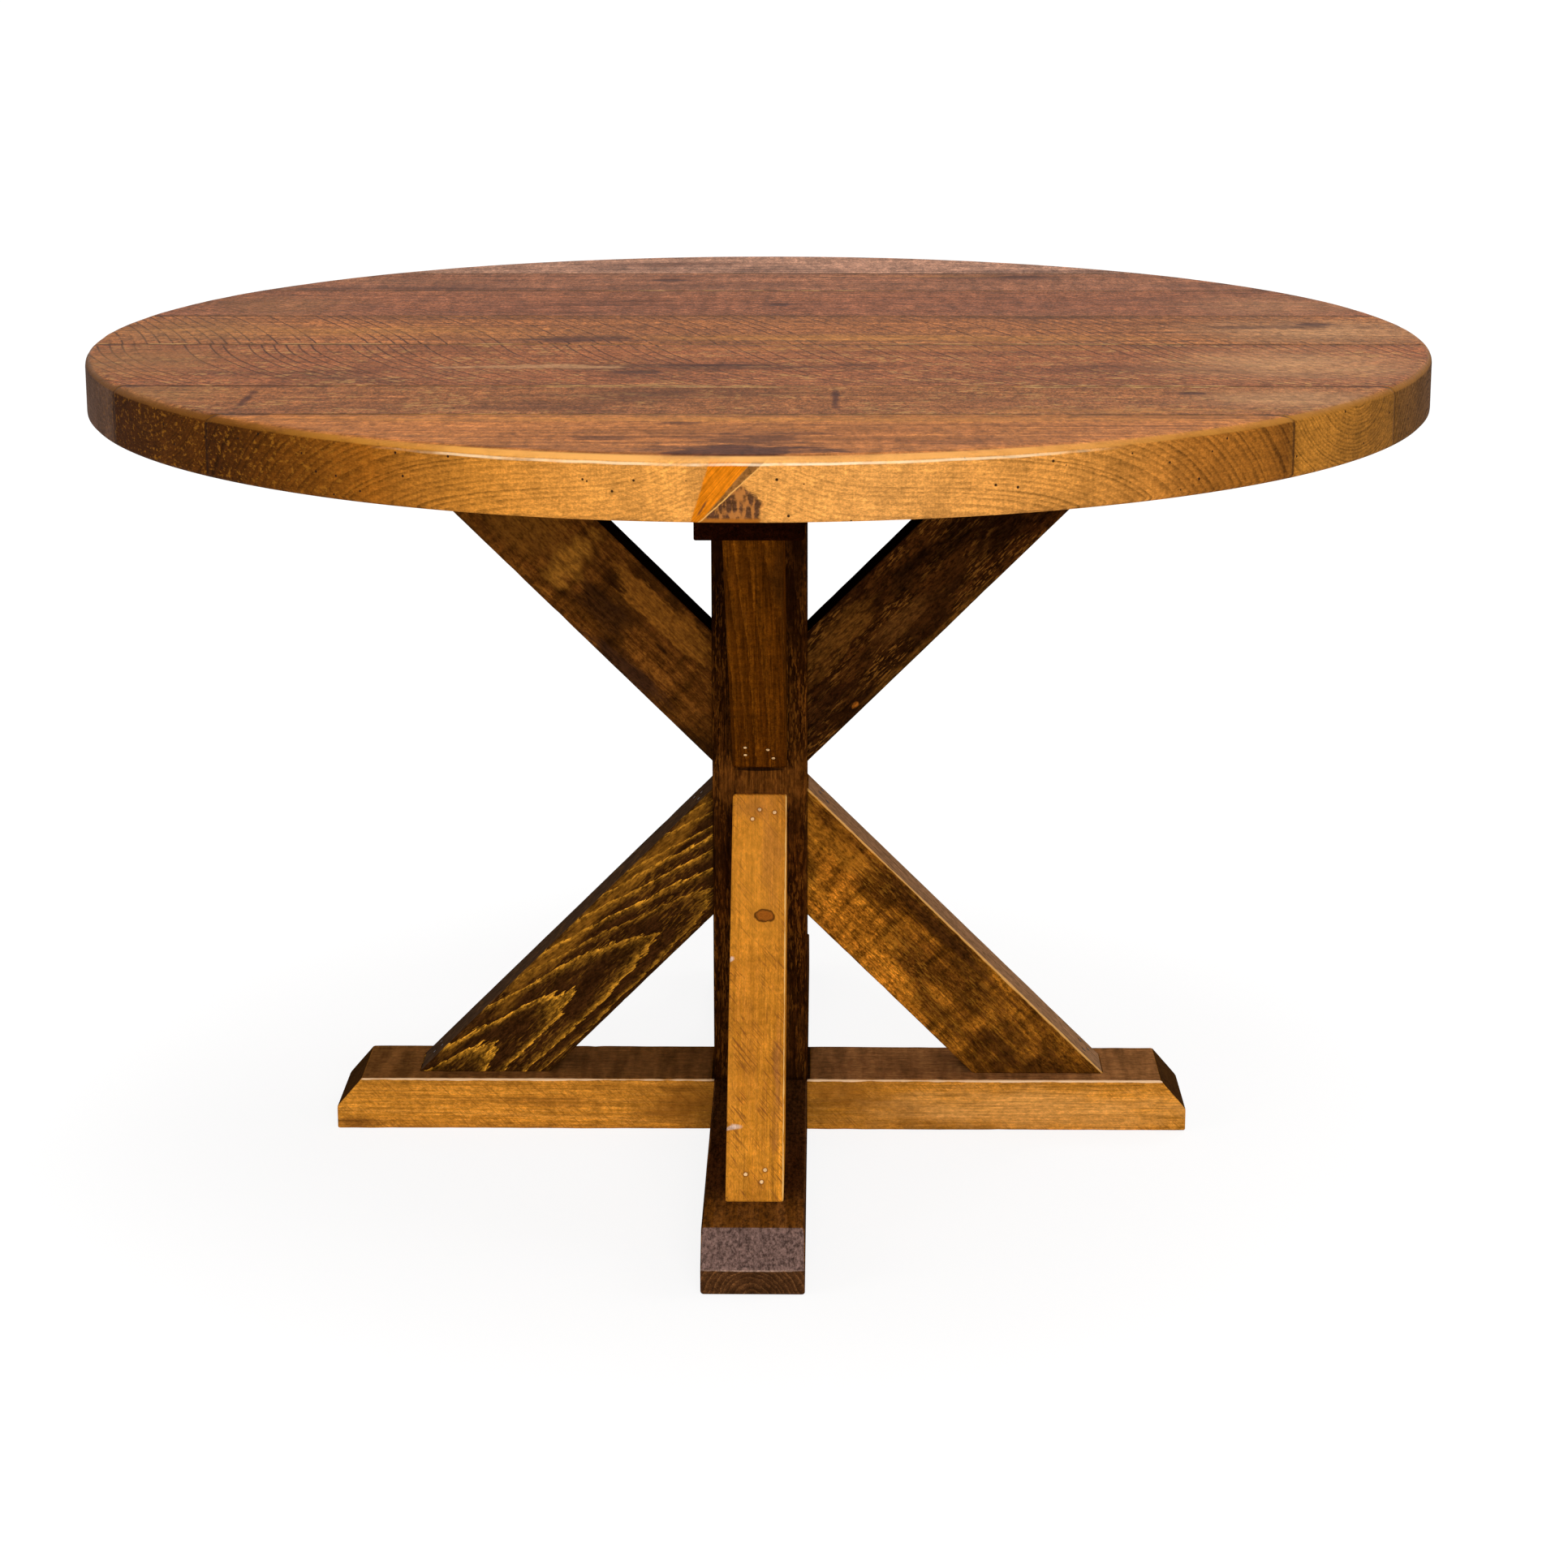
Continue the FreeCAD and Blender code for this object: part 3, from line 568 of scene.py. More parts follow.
def paintSpikeKnot(t, here, level, colour, spike):
    # a branch sawn lengthwise at the front of the rim: an orange wedge with a gouge, bark, a thin yellow
    # ridge and a ragged heart of dark scales
    part = split(t, here)
    rough = cloud(t, stretch(t, here, 260.0, 60.0, 260.0), 3.0, 0.7)
    x = total(t, part[0], product(t, minus(t, rough, 0.5), spike["rag"]))
    down = minus(t, spike["top"], part[2])

    def leaning(line):
        return total(t, line[0], product(t, down, line[1]))

    def between(low, high, soft=0.0008):
        return product(t, span(t, minus(t, x, low), -soft, soft),
                       span(t, minus(t, high, x), -soft, soft))

    shown = product(t, span(t, part[1], *spike["front"]), span(t, level, 0.80, 0.60))
    left, right, ridge = leaning(spike["left"]), leaning(spike["right"]), leaning(spike["ridge"])
    wavy = minus(t, cloud(t, stretch(t, here, 90.0, 20.0, 150.0), 3.0, 0.7), 0.5)
    shoulder = calc(t, "MINIMUM", leaning(spike["shoulder"]), spike["end"])
    shoulder = total(t, shoulder, product(t, wavy, spike["wave"]))
    fibres = cloud(t, join(t, product(t, minus(t, part[0], right), 620.0), product(t, down, 30.0), 0.0),
                   3.0, 0.6)
    scales = t.nodes.new("ShaderNodeTexVoronoi")
    scales.inputs["Scale"].default_value = 1.0
    feed(t, scales.inputs["Vector"], stretch(t, here, 290.0, 20.0, 95.0))
    lumps = total(t, scales.outputs["Distance"], product(t, minus(t, rough, 0.5), 0.9))
    orange = vary(t, vary(t, spike["orange"], fibres, 0.42), rough, 0.2)
    gouge = product(t, span(t, away(t, x, leaning(spike["gouge"])), *spike["gougeWide"]),
                    span(t, away(t, down, spike["gougeAt"]), *spike["gougeHigh"]))
    orange = mix(t, product(t, gouge, 0.75), orange, spike["dark"])
    bark = vary(t, spike["bark"], rough, 0.8)
    heart = mix(t, span(t, lumps, 0.44, 0.80), vary(t, spike["dark"], rough, 0.75), spike["tip"])
    heart = mix(t, span(t, down, spike["foot"] - 0.001, spike["foot"] + 0.002), heart, spike["rust"])
    colour = mix(t, product(t, between(left, right), shown), colour, orange)
    colour = mix(t, product(t, between(right, ridge), shown, 0.85), colour, bark)
    inHeart = product(t, span(t, minus(t, x, ridge), 0.0, 0.001),
                      span(t, minus(t, shoulder, x), 0.0, 0.005))
    colour = mix(t, product(t, inHeart, shown, 0.93), colour, heart)
    yellow = between(minus(t, ridge, 0.0007), total(t, ridge, 0.0007), 0.0004)
    return mix(t, product(t, yellow, shown, 0.85), colour, spike["yellow"])


def addPiece(name, mesh, material, node):
    piece = bpy.data.objects.new(name, mesh)
    bpy.context.scene.collection.objects.link(piece)
    mesh.materials.append(material)
    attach(piece, "root")
    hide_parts(node)


def loftMesh(name, rings, flatBetween=()):
    points = [p for ring in rings for p in ring]
    n = len(rings[0])
    faces = []
    smooth = []
    for i in range(len(rings) - 1):
        for j in range(n):
            a = i * n + j
            b = i * n + (j + 1) % n
            faces.append((a, b, b + n, a + n))
            smooth.append(i not in flatBetween)
    faces.append(tuple(reversed(range(n))))
    faces.append(tuple(range((len(rings) - 1) * n, len(rings) * n)))
    smooth += [False, False]
    mesh = bpy.data.meshes.new(name)
    mesh.from_pydata(points, [], faces)
    mesh.polygons.foreach_set("use_smooth", smooth)
    mesh.update()
    return mesh


def wornSection(low, high, halfW, radii, arcSteps=4, ease=0.0012, cuts=3):
    # a rectangle with its own radius at each corner, anticlockwise in (v, w)
    corners = []
    for k, (sv, sw) in enumerate(((1, 1), (-1, 1), (-1, -1), (1, -1))):
        r = min(radii[k], (high - low) * 0.45, halfW * 0.9)
        cv = (high - r) if sv > 0 else (low + r)
        cw = sw * (halfW - r)
        start = math.pi / 2 * k
        row = []
        for i in range(arcSteps + 1):
            angle = start + math.pi / 2 * i / arcSteps
            row.append((cv + r * math.cos(angle), cw + r * math.sin(angle)))
        first = (row[0][0] + ease * math.sin(start), row[0][1] - ease * math.cos(start))
        stop = start + math.pi / 2
        last = (row[-1][0] - ease * math.sin(stop), row[-1][1] + ease * math.cos(stop))
        corners.append([first] + row + [last])
    points = []
    for k in range(4):
        points += corners[k]
        a = corners[k][-1]
        b = corners[(k + 1) % 4][0]
        for i in range(1, cuts + 1):
            f = i / (cuts + 1)
            points.append((a[0] + (b[0] - a[0]) * f, a[1] + (b[1] - a[1]) * f))
    return points


def wornBar(name, axes, stations, halfW, wear):
    # stations: (place along, lowest v, highest v, lean of the ring); dents: (corner, place, reach, depth)
    origin, s, v, w = axes
    draw = random.Random(wear["seed"])
    start = min(st[0] for st in stations)
    stop = max(st[0] for st in stations)
    dents = [(draw.randrange(4), draw.uniform(start, stop), draw.uniform(0.004, 0.014),
              draw.uniform(0.3, 1.0) * wear["dent"]) for i in range(wear["dents"])]
    dents += wear.get("chips", [])
    rings = []
    flat = set()
    for i, (place, low, high, lean) in enumerate(stations):
        radii = []
        for k in range(4):
            # slow and quick waves in the roundness of each corner
            wave = noise.noise(Vector((place * 9.0, k * 7.3, wear["seed"] * 1.7)))
            ripple = noise.noise(Vector((place * 55.0, k * 5.1, wear["seed"] * 2.9)))
            radius = wear["radius"] * (1.0 + 0.45 * wave + 0.3 * ripple)
            for corner, at, reach, depth in dents:
                if corner == k and abs(place - at) < reach:
                    radius += depth * (0.5 + 0.5 * math.cos(math.pi * (place - at) / reach))
            radii.append(max(radius, 0.0006))
        ring = []
        for pv, pw in wornSection(low, high, halfW, radii):
            ring.append(origin + s * (place + lean * pv) + v * pv + w * pw)
        if i and abs(stations[i - 1][0] - place) < 1e-7:
            flat.add(i - 1)
        rings.append(ring)
    return loftMesh(name, rings, flat)


def steps(start, stop, size):
    count = max(1, round(abs(stop - start) / size))
    return [start + (stop - start) * i / count for i in range(count + 1)]


# the round top: seven boards, cut to a circle, with a rounded upper edge and eased seams
topShape = {"radius": 0.6096, "top": 0.762, "under": 0.7112, "waist": 0.735, "round": 0.008,
            "bevel": 0.0025, "seams": (-0.4300, -0.2903, -0.05535, 0.1288, 0.31295, 0.45265),
            "arcStep": 0.004, "seamStep": 0.006}


def rimWear(angle):
    # share of the upper edge's rounding at this place on the rim
    wide = noise.noise(Vector((math.cos(angle) * 5.0, math.sin(angle) * 5.0, 3.3)))
    small = noise.noise(Vector((math.cos(angle) * 26.0, math.sin(angle) * 26.0, 8.1)))
    return 1.0 + 0.20 * wide + 0.08 * small


def seamEase(x, y):
    # how far the boards are rubbed back beside a seam
    wide = noise.noise(Vector((x * 12.0, y * 31.0, 1.7)))
    small = noise.noise(Vector((x * 60.0, y * 47.0, 5.2)))
    return 0.0009 + 0.0005 * wide + max(0.0, small - 0.25) * 0.0022


def boardMesh(name, front, back):
    shape = topShape
    radius = shape["radius"]
    frontAngle = -math.pi / 2 if front is None else math.asin(front / radius)
    backAngle = math.pi / 2 if back is None else math.asin(back / radius)
    arcCount = max(2, round((backAngle - frontAngle) * radius / shape["arcStep"]))

    def rimPoint(angle, inset, rise):
        r = radius - inset(rimWear(angle))
        return Vector((r * math.cos(angle), r * math.sin(angle), rise(rimWear(angle))))

    def cornerAngle(y, side, inset):
        # where the rim meets a seam, on the right or the left
        angle = math.asin(y / radius) if side > 0 else math.pi - math.asin(y / radius)
        for i in range(3):
            reach = math.asin(y / (radius - inset(rimWear(angle))))
            angle = reach if side > 0 else math.pi - reach
        return angle

    def arc(start, stop, inset, rise, count):
        return [rimPoint(start + (stop - start) * i / count, inset, rise) for i in range(count + 1)]

    def seam(a, b, y, side, share):
        count = round(2 * math.sqrt(radius * radius - y * y) / shape["seamStep"])
        row = []
        for i in range(1, count):
            f = i / count
            p = a + (b - a) * f
            ends = min(1.0, min(f, 1.0 - f) * 30.0)
            row.append(Vector((p.x, y + side * seamEase(p.x, y) * share * ends, p.z)))
        return row

    def ringAt(inset, rise, share):
        if front is None:
            start = cornerAngle(back, -1, inset) - 2 * math.pi
            row = arc(start, cornerAngle(back, 1, inset), inset, rise, 2 * arcCount)
            return row + seam(row[-1], row[0], back, -1, share)
        if back is None:
            row = arc(cornerAngle(front, 1, inset), cornerAngle(front, -1, inset), inset, rise,
                      2 * arcCount)
            return row + seam(row[-1], row[0], front, 1, share)
        right = arc(cornerAngle(front, 1, inset), cornerAngle(back, 1, inset), inset, rise, arcCount)
        left = arc(cornerAngle(back, -1, inset), cornerAngle(front, -1, inset), inset, rise, arcCount)
        behind = seam(right[-1], left[0], back, -1, share)
        before = seam(left[-1], right[0], front, 1, share)
        return right + behind + left + before

    under, bevel, rounding = shape["under"], shape["bevel"], shape["round"]
    rings = [ringAt(lambda k: bevel, lambda k: under, 0.6),
             ringAt(lambda k: 0.0002, lambda k: under + bevel, 0.0),
             ringAt(lambda k: 0.0, lambda k: under + bevel + 0.002, 0.0),
             ringAt(lambda k: 0.0, lambda k: shape["waist"], 0.0)]
    for degrees in (0, 15, 30, 45, 60, 75, 90):
        a = math.radians(degrees)
        rings.append(ringAt(lambda k, a=a: rounding * k * (1.0 - math.cos(a)),
                            lambda k, a=a: shape["top"] - rounding * k * (1.0 - math.sin(a)),
                            max(0.0, (degrees - 50) / 40.0)))
    rings.append(ringAt(lambda k: rounding * k + 0.002, lambda k: shape["top"], 1.6))
    return loftMesh(name, rings)


# tones: place from left to right, then the colour of the rim or of its rubbed upper edge
# faint: where the ring lines begin to show, and their share before and after; torn, painted highlight and
# back: places where each fades in; clouds: scale along the board and upright, detail and share
rimLook = {"spacing": 0.0046, "coatGloss": 0.15, "groove": (0.035, 0.013, 0.008),
           "joint": (0.03, 0.011, 0.005), "hole": (0.012, 0.006, 0.004), "reach": 0.62, "lineShow": 0.52,
           "bump": 0.8, "rubShow": 0.9, "glint": (0.34, 0.130, 0.011), "backTone": (0.34, 0.125, 0.018),
           # the pale line low on the front of the rounded edge is a painted highlight
           "backRub": (0.40, 0.18, 0.05), "backFrom": (-0.10, 0.0), "bareAndPaintedHighlight": (0.95, 0.70, 0.42),
           "highlightFront": (-0.535, -0.580), "highlightShow": 0.65, "holeScale": 72.0, "holeSize": (0.096, 0.067),
           "faintLeft": (-0.57, -0.42, 0.25, 1.0), "faintMiddle": (0.08, 0.24, 0.56, 1.0),
           "tornRight": (-0.20, -0.34), "tornLeft": (-0.59, -0.50), "tornBack": (0.05, -0.1),
           "tornShow": 0.5,
           "clouds": [(560.0, 60.0, 2.0, 0.10), (30.0, 420.0, 2.0, 0.11), (30.0, 18.0, 3.0, 0.20)],
           "tones": [(0.0, (0.088, 0.046, 0.031)), (0.066, (0.094, 0.048, 0.029)),
                     (0.069, (0.036, 0.010, 0.002)), (0.10, (0.052, 0.015, 0.002)),
                     (0.150, (0.076, 0.022, 0.002)), (0.153, (0.046, 0.013, 0.002)),
                     (0.20, (0.088, 0.026, 0.002)), (0.27, (0.235, 0.074, 0.006)),
                     (0.34, (0.44, 0.168, 0.022)), (0.42, (0.54, 0.225, 0.042)),
                     (0.58, (0.57, 0.250, 0.058)), (0.70, (0.49, 0.198, 0.036)),
                     (0.78, (0.31, 0.108, 0.014)), (0.825, (0.24, 0.082, 0.009)),
                     (0.847, (0.15, 0.050, 0.006)), (0.849, (0.36, 0.140, 0.017)),
                     (0.93, (0.216, 0.087, 0.013)), (0.933, (0.145, 0.060, 0.0125)),
                     (1.0, (0.074, 0.034, 0.016))],
           "rubTones": [(0.0, (0.15, 0.075, 0.040)), (0.10, (0.16, 0.060, 0.012)),
                        (0.18, (0.16, 0.055, 0.006)), (0.26, (0.42, 0.17, 0.022)),
                        (0.34, (0.72, 0.33, 0.070)), (0.48, (0.80, 0.40, 0.12)), (0.66, (0.70, 0.32, 0.08)),
                        (0.78, (0.44, 0.185, 0.030)), (0.92, (0.29, 0.118, 0.020)),
                        (1.0, (0.22, 0.10, 0.035))]}
boardBase = {"taper": 0.01, "rag": 0.002, "ringPower": 2.2, "ringShow": 0.35, "soak": (0.52, 0.70),
             "soakShow": 0.5, "fibreShow": 0.38, "streakShow": 0.30, "fineShow": 0.30, "pepperShow": 0.28,
             "fleckShow": 0.45, "chatterShow": 0.10, "lineShow": 0.45, "across": 0.3,
             "deep": (0.070, 0.022, 0.010), "glint": (0.62, 0.33, 0.10), "gloss": 0.44, "specular": 0.05,
             "bump": 0.35, "sliver": (0.66, 0.38, 0.13), "rim": rimLook}
sawLook = {"radius": 0.53, "centre": 0.075, "side": 1.0, "spacing": 0.0115, "show": 0.95, "lip": 0.15,
           "bump": 1.0}
plum = (0.060, 0.017, 0.012)
smoke = (0.085, 0.028, 0.014)
honey = (0.47, 0.19, 0.038)


def topKnot(x, y, along, across):
    return {"at": (x, y, 0.758), "size": (along, across, 0.03), "swell": 0.006, "show": 0.7,
            "colour": (0.045, 0.014, 0.009), "ringColour": (0.09, 0.03, 0.018),
            "halo": (0.10, 0.032, 0.016), "haloShow": 0.4}


def topSpot(x, y, along, across, shade, show, rag=1.6, soft=0.5):
    return spot((x, y, 0.75), (along, across, 0.06), shade, show, rag, soft)


glare = (0.47, 0.235, 0.098)
olive = (0.27, 0.125, 0.040)
# slivers: side of the board, then where they begin and end; the spike's sloping lines: place at its top
# and how far they lean with the depth
boards = [
    {"name": "frontBoard", "seed": 1.0, "body": (0.41, 0.140, 0.036), "gold": (0.54, 0.22, 0.055),
     "pith": (-0.52, 0.700), "spacing": 0.0042, "rimPith": (-0.615, 0.655), "rimSpacing": 0.0042,
     "slivers": [], "pepperShow": 0.12,
     "patches": [topSpot(0.0, -0.452, 0.60, 0.018, honey, 0.6, 0.8, 0.9),
                 topSpot(-0.055, -0.468, 0.022, 0.010, plum, 0.6, 2.2),
                 topSpot(0.01, -0.535, 0.075, 0.050, smoke, 0.75, 2.8, 0.8),
                 topSpot(0.0, -0.59, 0.075, 0.034, plum, 0.85, 2.4),
                 topSpot(-0.11, -0.535, 0.035, 0.018, smoke, 0.6, 2.2),
                 topSpot(0.16, -0.55, 0.10, 0.02, smoke, 0.4, 2.0, 0.8)],
     "spike": {"top": 0.7535, "middle": -0.012, "left": (-0.0264, -0.306), "right": (0.003, -0.85),
               "ridge": (0.0123, -1.08), "shoulder": (-0.0118, 1.0), "end": 0.0150, "foot": 0.0385,
               "rag": 0.0022, "orange": (0.55, 0.152, 0.004), "bark": (0.17, 0.065, 0.015),
               "dark": (0.062, 0.024, 0.014), "tip": (0.36, 0.130, 0.030), "gouge": (-0.0112, -0.62),
               "gougeAt": 0.031, "gougeWide": (0.0016, 0.0004), "gougeHigh": (0.0075, 0.003),
               "front": (-0.585, -0.60), "wave": 0.016, "reach": 0.055, "lift": -0.03,
               "rust": (0.36, 0.11, 0.01), "yellow": (0.72, 0.36, 0.09)}},
    {"name": "secondBoard", "seed": 2.0, "body": (0.275, 0.094, 0.030), "gold": (0.38, 0.150, 0.042),
     "pith": (-0.40, 0.690), "spacing": 0.0042, "rimPith": (-0.355, 0.785), "rimSpacing": 0.0032,
     "pepperShow": 0.34, "fineShow": 0.30, "glintShow": 0.4, "slivers": [(1, -0.17, 0.02), (1, 0.23, 0.40)],
     "patches": [topSpot(-0.08, -0.335, 0.14, 0.05, smoke, 0.4, 2.0, 0.8),
                 topSpot(-0.412, -0.36, 0.0056, 0.08, plum, 0.8, 1.2, 0.7),
                 topSpot(0.069, -0.35, 0.0050, 0.07, plum, 0.85, 1.2, 0.7),
                 topSpot(0.3, -0.41, 0.2, 0.02, honey, 0.4, 1.0, 0.9),
                 topSpot(0.44, -0.35, 0.12, 0.07, glare, 0.7, 0.8, 0.9),
                 topSpot(-0.5, -0.33, 0.10, 0.08, olive, 0.5, 1.0, 0.9)],
     "knots": [topKnot(0.362, -0.325, 0.012, 0.007)]},
    {"name": "thirdBoard", "seed": 3.0, "body": (0.280, 0.087, 0.030), "gold": (0.40, 0.152, 0.045),
     "pith": (-0.20, 0.62), "rimPith": (-0.17, 0.66), "saw": dict(sawLook), "glintShow": 0.5,
     "slivers": [(-1, -0.17, 0.02), (-1, 0.23, 0.40)],
     "patches": [topSpot(0.47, -0.17, 0.17, 0.13, glare, 0.75, 0.8, 0.9),
                 topSpot(-0.55, -0.15, 0.13, 0.12, olive, 0.55, 1.0, 0.9),
                 topSpot(-0.06, -0.185, 0.24, 0.026, smoke, 0.6, 2.4, 0.7),
                 topSpot(0.33, -0.2, 0.14, 0.03, smoke, 0.35, 2.2, 0.8),
                 topSpot(-0.20, -0.185, 0.11, 0.012, glare, 0.7, 3.4, 0.4),
                 topSpot(0.1, -0.08, 0.4, 0.02, honey, 0.3, 1.4, 0.9),
                 topSpot(-0.02, -0.175, 0.07, 0.012, plum, 0.6, 2.6, 0.8)],
     "knots": [topKnot(-0.10, -0.215, 0.022, 0.009)]},
    {"name": "middleBoard", "seed": 4.0, "body": (0.315, 0.106, 0.032), "gold": (0.46, 0.182, 0.045),
     "pith": (0.02, 0.60), "rimPith": (0.04, 0.80), "streakShow": 0.42, "fibreShow": 0.46, "fineShow": 0.38,
     "saw": dict(sawLook, radius=0.93, centre=-0.322, side=-1.0, spacing=0.012),
     "slivers": [(-1, -0.60, -0.34), (-1, -0.25, -0.22), (-1, 0.12, 0.40)],
     "patches": [topSpot(0.52, 0.03, 0.18, 0.12, glare, 0.7, 0.8, 0.9),
                 topSpot(-0.53, 0.03, 0.13, 0.12, olive, 0.55, 1.0, 0.9),
                 topSpot(0.10, -0.015, 0.46, 0.032, honey, 0.6, 1.2, 0.9),
                 topSpot(-0.36, 0.03, 0.24, 0.045, honey, 0.4, 1.4, 0.9),
                 topSpot(-0.15, -0.024, 0.09, 0.026, plum, 0.8, 2.4, 0.7),
                 topSpot(0.475, 0.055, 0.09, 0.014, plum, 0.55, 2.0)],
     "knots": [topKnot(0.52, 0.073, 0.016, 0.010)]},
    {"name": "fifthBoard", "seed": 5.0, "body": (0.280, 0.093, 0.040), "gold": (0.36, 0.146, 0.055),
     "pith": (0.20, 0.61), "rimPith": (0.22, 0.66),
     "saw": dict(sawLook, radius=0.6, centre=-0.20, side=-1.0, show=0.6), "chatterShow": 0.2, "slivers": [],
     "patches": [topSpot(0.50, 0.2, 0.14, 0.12, glare, 0.35, 0.8, 0.9),
                 topSpot(-0.48, 0.2, 0.12, 0.12, olive, 0.4, 1.0, 0.9),
                 topSpot(0.22, 0.20, 0.10, 0.05, smoke, 0.35, 2.0, 0.8),
                 topSpot(0.38, 0.24, 0.12, 0.05, smoke, 0.3, 2.0, 0.8)],
     "knots": [topKnot(0.016, 0.211, 0.010, 0.010)]},
    {"name": "sixthBoard", "seed": 6.0, "body": (0.285, 0.104, 0.048), "gold": (0.38, 0.162, 0.07),
     "pith": (0.40, 0.68), "rimPith": (0.38, 0.79), "chatterShow": 0.22, "slivers": [(-1, -0.15, 0.1)],
     "patches": [topSpot(-0.38, 0.328, 0.24, 0.018, smoke, 0.6, 1.6, 0.7),
                 topSpot(0.2, 0.43, 0.2, 0.016, honey, 0.3, 1.4, 0.9)],
     "knots": [topKnot(-0.101, 0.397, 0.018, 0.010), topKnot(0.267, 0.424, 0.024, 0.012)]},
    {"name": "backBoard", "seed": 7.0, "body": (0.41, 0.198, 0.120), "gold": (0.54, 0.28, 0.165),
     "pith": (0.52, 0.69), "rimPith": (0.6, 0.66), "chatterShow": 0.24, "slivers": [],
     "patches": [topSpot(-0.1, 0.53, 0.08, 0.03, smoke, 0.5, 2.0),
                 topSpot(0.3, 0.47, 0.16, 0.014, smoke, 0.45, 1.8)]},
]

edges = [None] + list(topShape["seams"]) + [None]
for i, board in enumerate(boards):
    front, back = edges[i], edges[i + 1]
    seams = (-noLimit if front is None else front, noLimit if back is None else back)
    middle = (max(seams[0], -topShape["radius"]) + min(seams[1], topShape["radius"])) / 2
    look = dict(boardBase, **board)
    look.update(seams=seams, middle=middle)
    material = finishTimber(board["name"] + "Finish", axesOf((0, 0, 0), (1, 0, 0), (0, 1, 0)), look)
    addPiece(board["name"], boardMesh(board["name"], front, back), material,
             "top_board_%d" % (i + 1))
print("top boards made:", len(boards))

# the post: nearly black stain with reddish streaks, lighter between the braces, with painted shade
# on its upper part and a painted shadow line under the upper front brace
postHalf = 0.04445
postLook = {"seed": 11.0, "body": (0.026, 0.007, 0.001), "gold": (0.20, 0.062, 0.007),
            "deep": (0.006, 0.002, 0.001), "pith": (0.03, -0.06), "spacing": 0.008, "wander": 0.08,
            "rag": 0.005, "ringPower": 2.4, "ringShow": 0.7, "ringBreak": 0.6, "soak": (0.45, 0.60),
            "soakShow": 0.8, "fibreShow": 0.6, "lineShow": 0.6, "glintShow": 0.5,
            "glint": (0.20, 0.068, 0.008), "wear": {"seed": 21, "radius": 0.003, "dents": 10, "dent": 0.002},
            "patches": [
                spot((0.348, 0.0, 0.0), (0.030, 0.09, 0.09), (0.14, 0.044, 0.006), 0.55, 1.8),
                # painted shade on the upper part of the post, under the top
                spot((0.57, 0.0, 0.0), (0.14, 0.09, 0.09), (0.010, 0.003, 0.001), 0.75, 1.4, 0.9),
                # a thin painted shadow line on the post just under the upper front brace's lower end
                spot((0.3592, 0.0, -0.0445), (0.0022, 0.0268, 0.010), (0.006, 0.002, 0.001), 0.9, 0.2, 0.4)]}
postAxes = axesOf((0, 0, 0), (0, 0, 1), (1, 0, 0))
postStations = [(z, -postHalf, postHalf, 0.0) for z in steps(0.0508, 0.6604, 0.006)]
addPiece("postBar", wornBar("postBar", postAxes, postStations, postHalf, postLook["wear"]),
         finishTimber("postFinish", postAxes, postLook), "post")

# eight braces at 45 degrees: their grain runs from the post to the toe
braceDepth = 0.0889
braceHalfW = 0.0254
braceSpots = {"front": (0, -1), "back": (0, 1), "left": (-1, 0), "right": (1, 0)}
lowerBrace = {"corner": 0.3353, "end": 0.3579, "rise": -1, "nailSide": -0.001,
              "near": [(-6.5, 27), (0, 17), (14, 20)], "far": [(-8, 25), (6, 18), (9, 29)]}
upperBrace = {"corner": 0.3607, "end": 0.3794, "rise": 1, "nailSide": 0.001,
              "near": [(-13, 38), (-13, 24), (8, 34), (13, 18)], "far": [(-12, 24), (2, 19), (13, 27)]}


def braceAxes(side, kind):
    x, y = braceSpots[side]
    out = Vector((x, y, 0))
    up = Vector((0, 0, 1))
    along = (out + up * kind["rise"]).normalized()
    across = (out - up * kind["rise"]).normalized()
    start = out * postHalf + up * kind["corner"] - across * (braceDepth / 2)
    return start, along, across, along.cross(across)


def nailSpots(kind):
    # millimetres off the middle and from each end of the outer face
    outer = braceDepth / 2
    reach = kind["end"] + outer
    near = [(d / 1000, outer, off * kind["nailSide"]) for off, d in kind["near"]]
    return near + [(reach - d / 1000, outer, off * kind["nailSide"]) for off, d in kind["far"]]


def addBrace(brace, wear):
    name, kind = brace["name"], brace["kind"]
    axes = braceAxes(brace["side"], kind)
    stations = []
    for f in steps(0.0, 1.0, 0.006):
        place = postHalf + (kind["end"] - postHalf) * f
        stations.append((place, -braceDepth / 2, braceDepth / 2, -1.0 + 2.0 * f))
    full = dict(braceBase, **brace)
    full["nails"] = nailSpots(kind)
    if "topFace" in full:
        upward = axes[2] if kind is lowerBrace else -axes[2]
        full["faces"] = [face(tuple(upward), full["topFace"], 0.95, 0.3)]
    mesh = wornBar(name, axes, stations, braceHalfW, wear)
    addPiece(name, mesh, finishTimber(name + "Finish", axes, full), brace["node"])


braceBase = {"deep": (0.018, 0.006, 0.0015), "spacing": 0.007, "taper": 0.06, "wander": 0.07,
             "rag": 0.004, "pith": (0.0, 0.05), "ringShow": 0.8, "soak": (0.46, 0.62), "fineShow": 0.45,
             "half": (braceDepth / 2, braceHalfW)}
braceWear = {"radius": 0.0022, "dents": 8, "dent": 0.0016}
torn = (0.78, 0.55, 0.42)
shaded = (0.005, 0.002, 0.001)
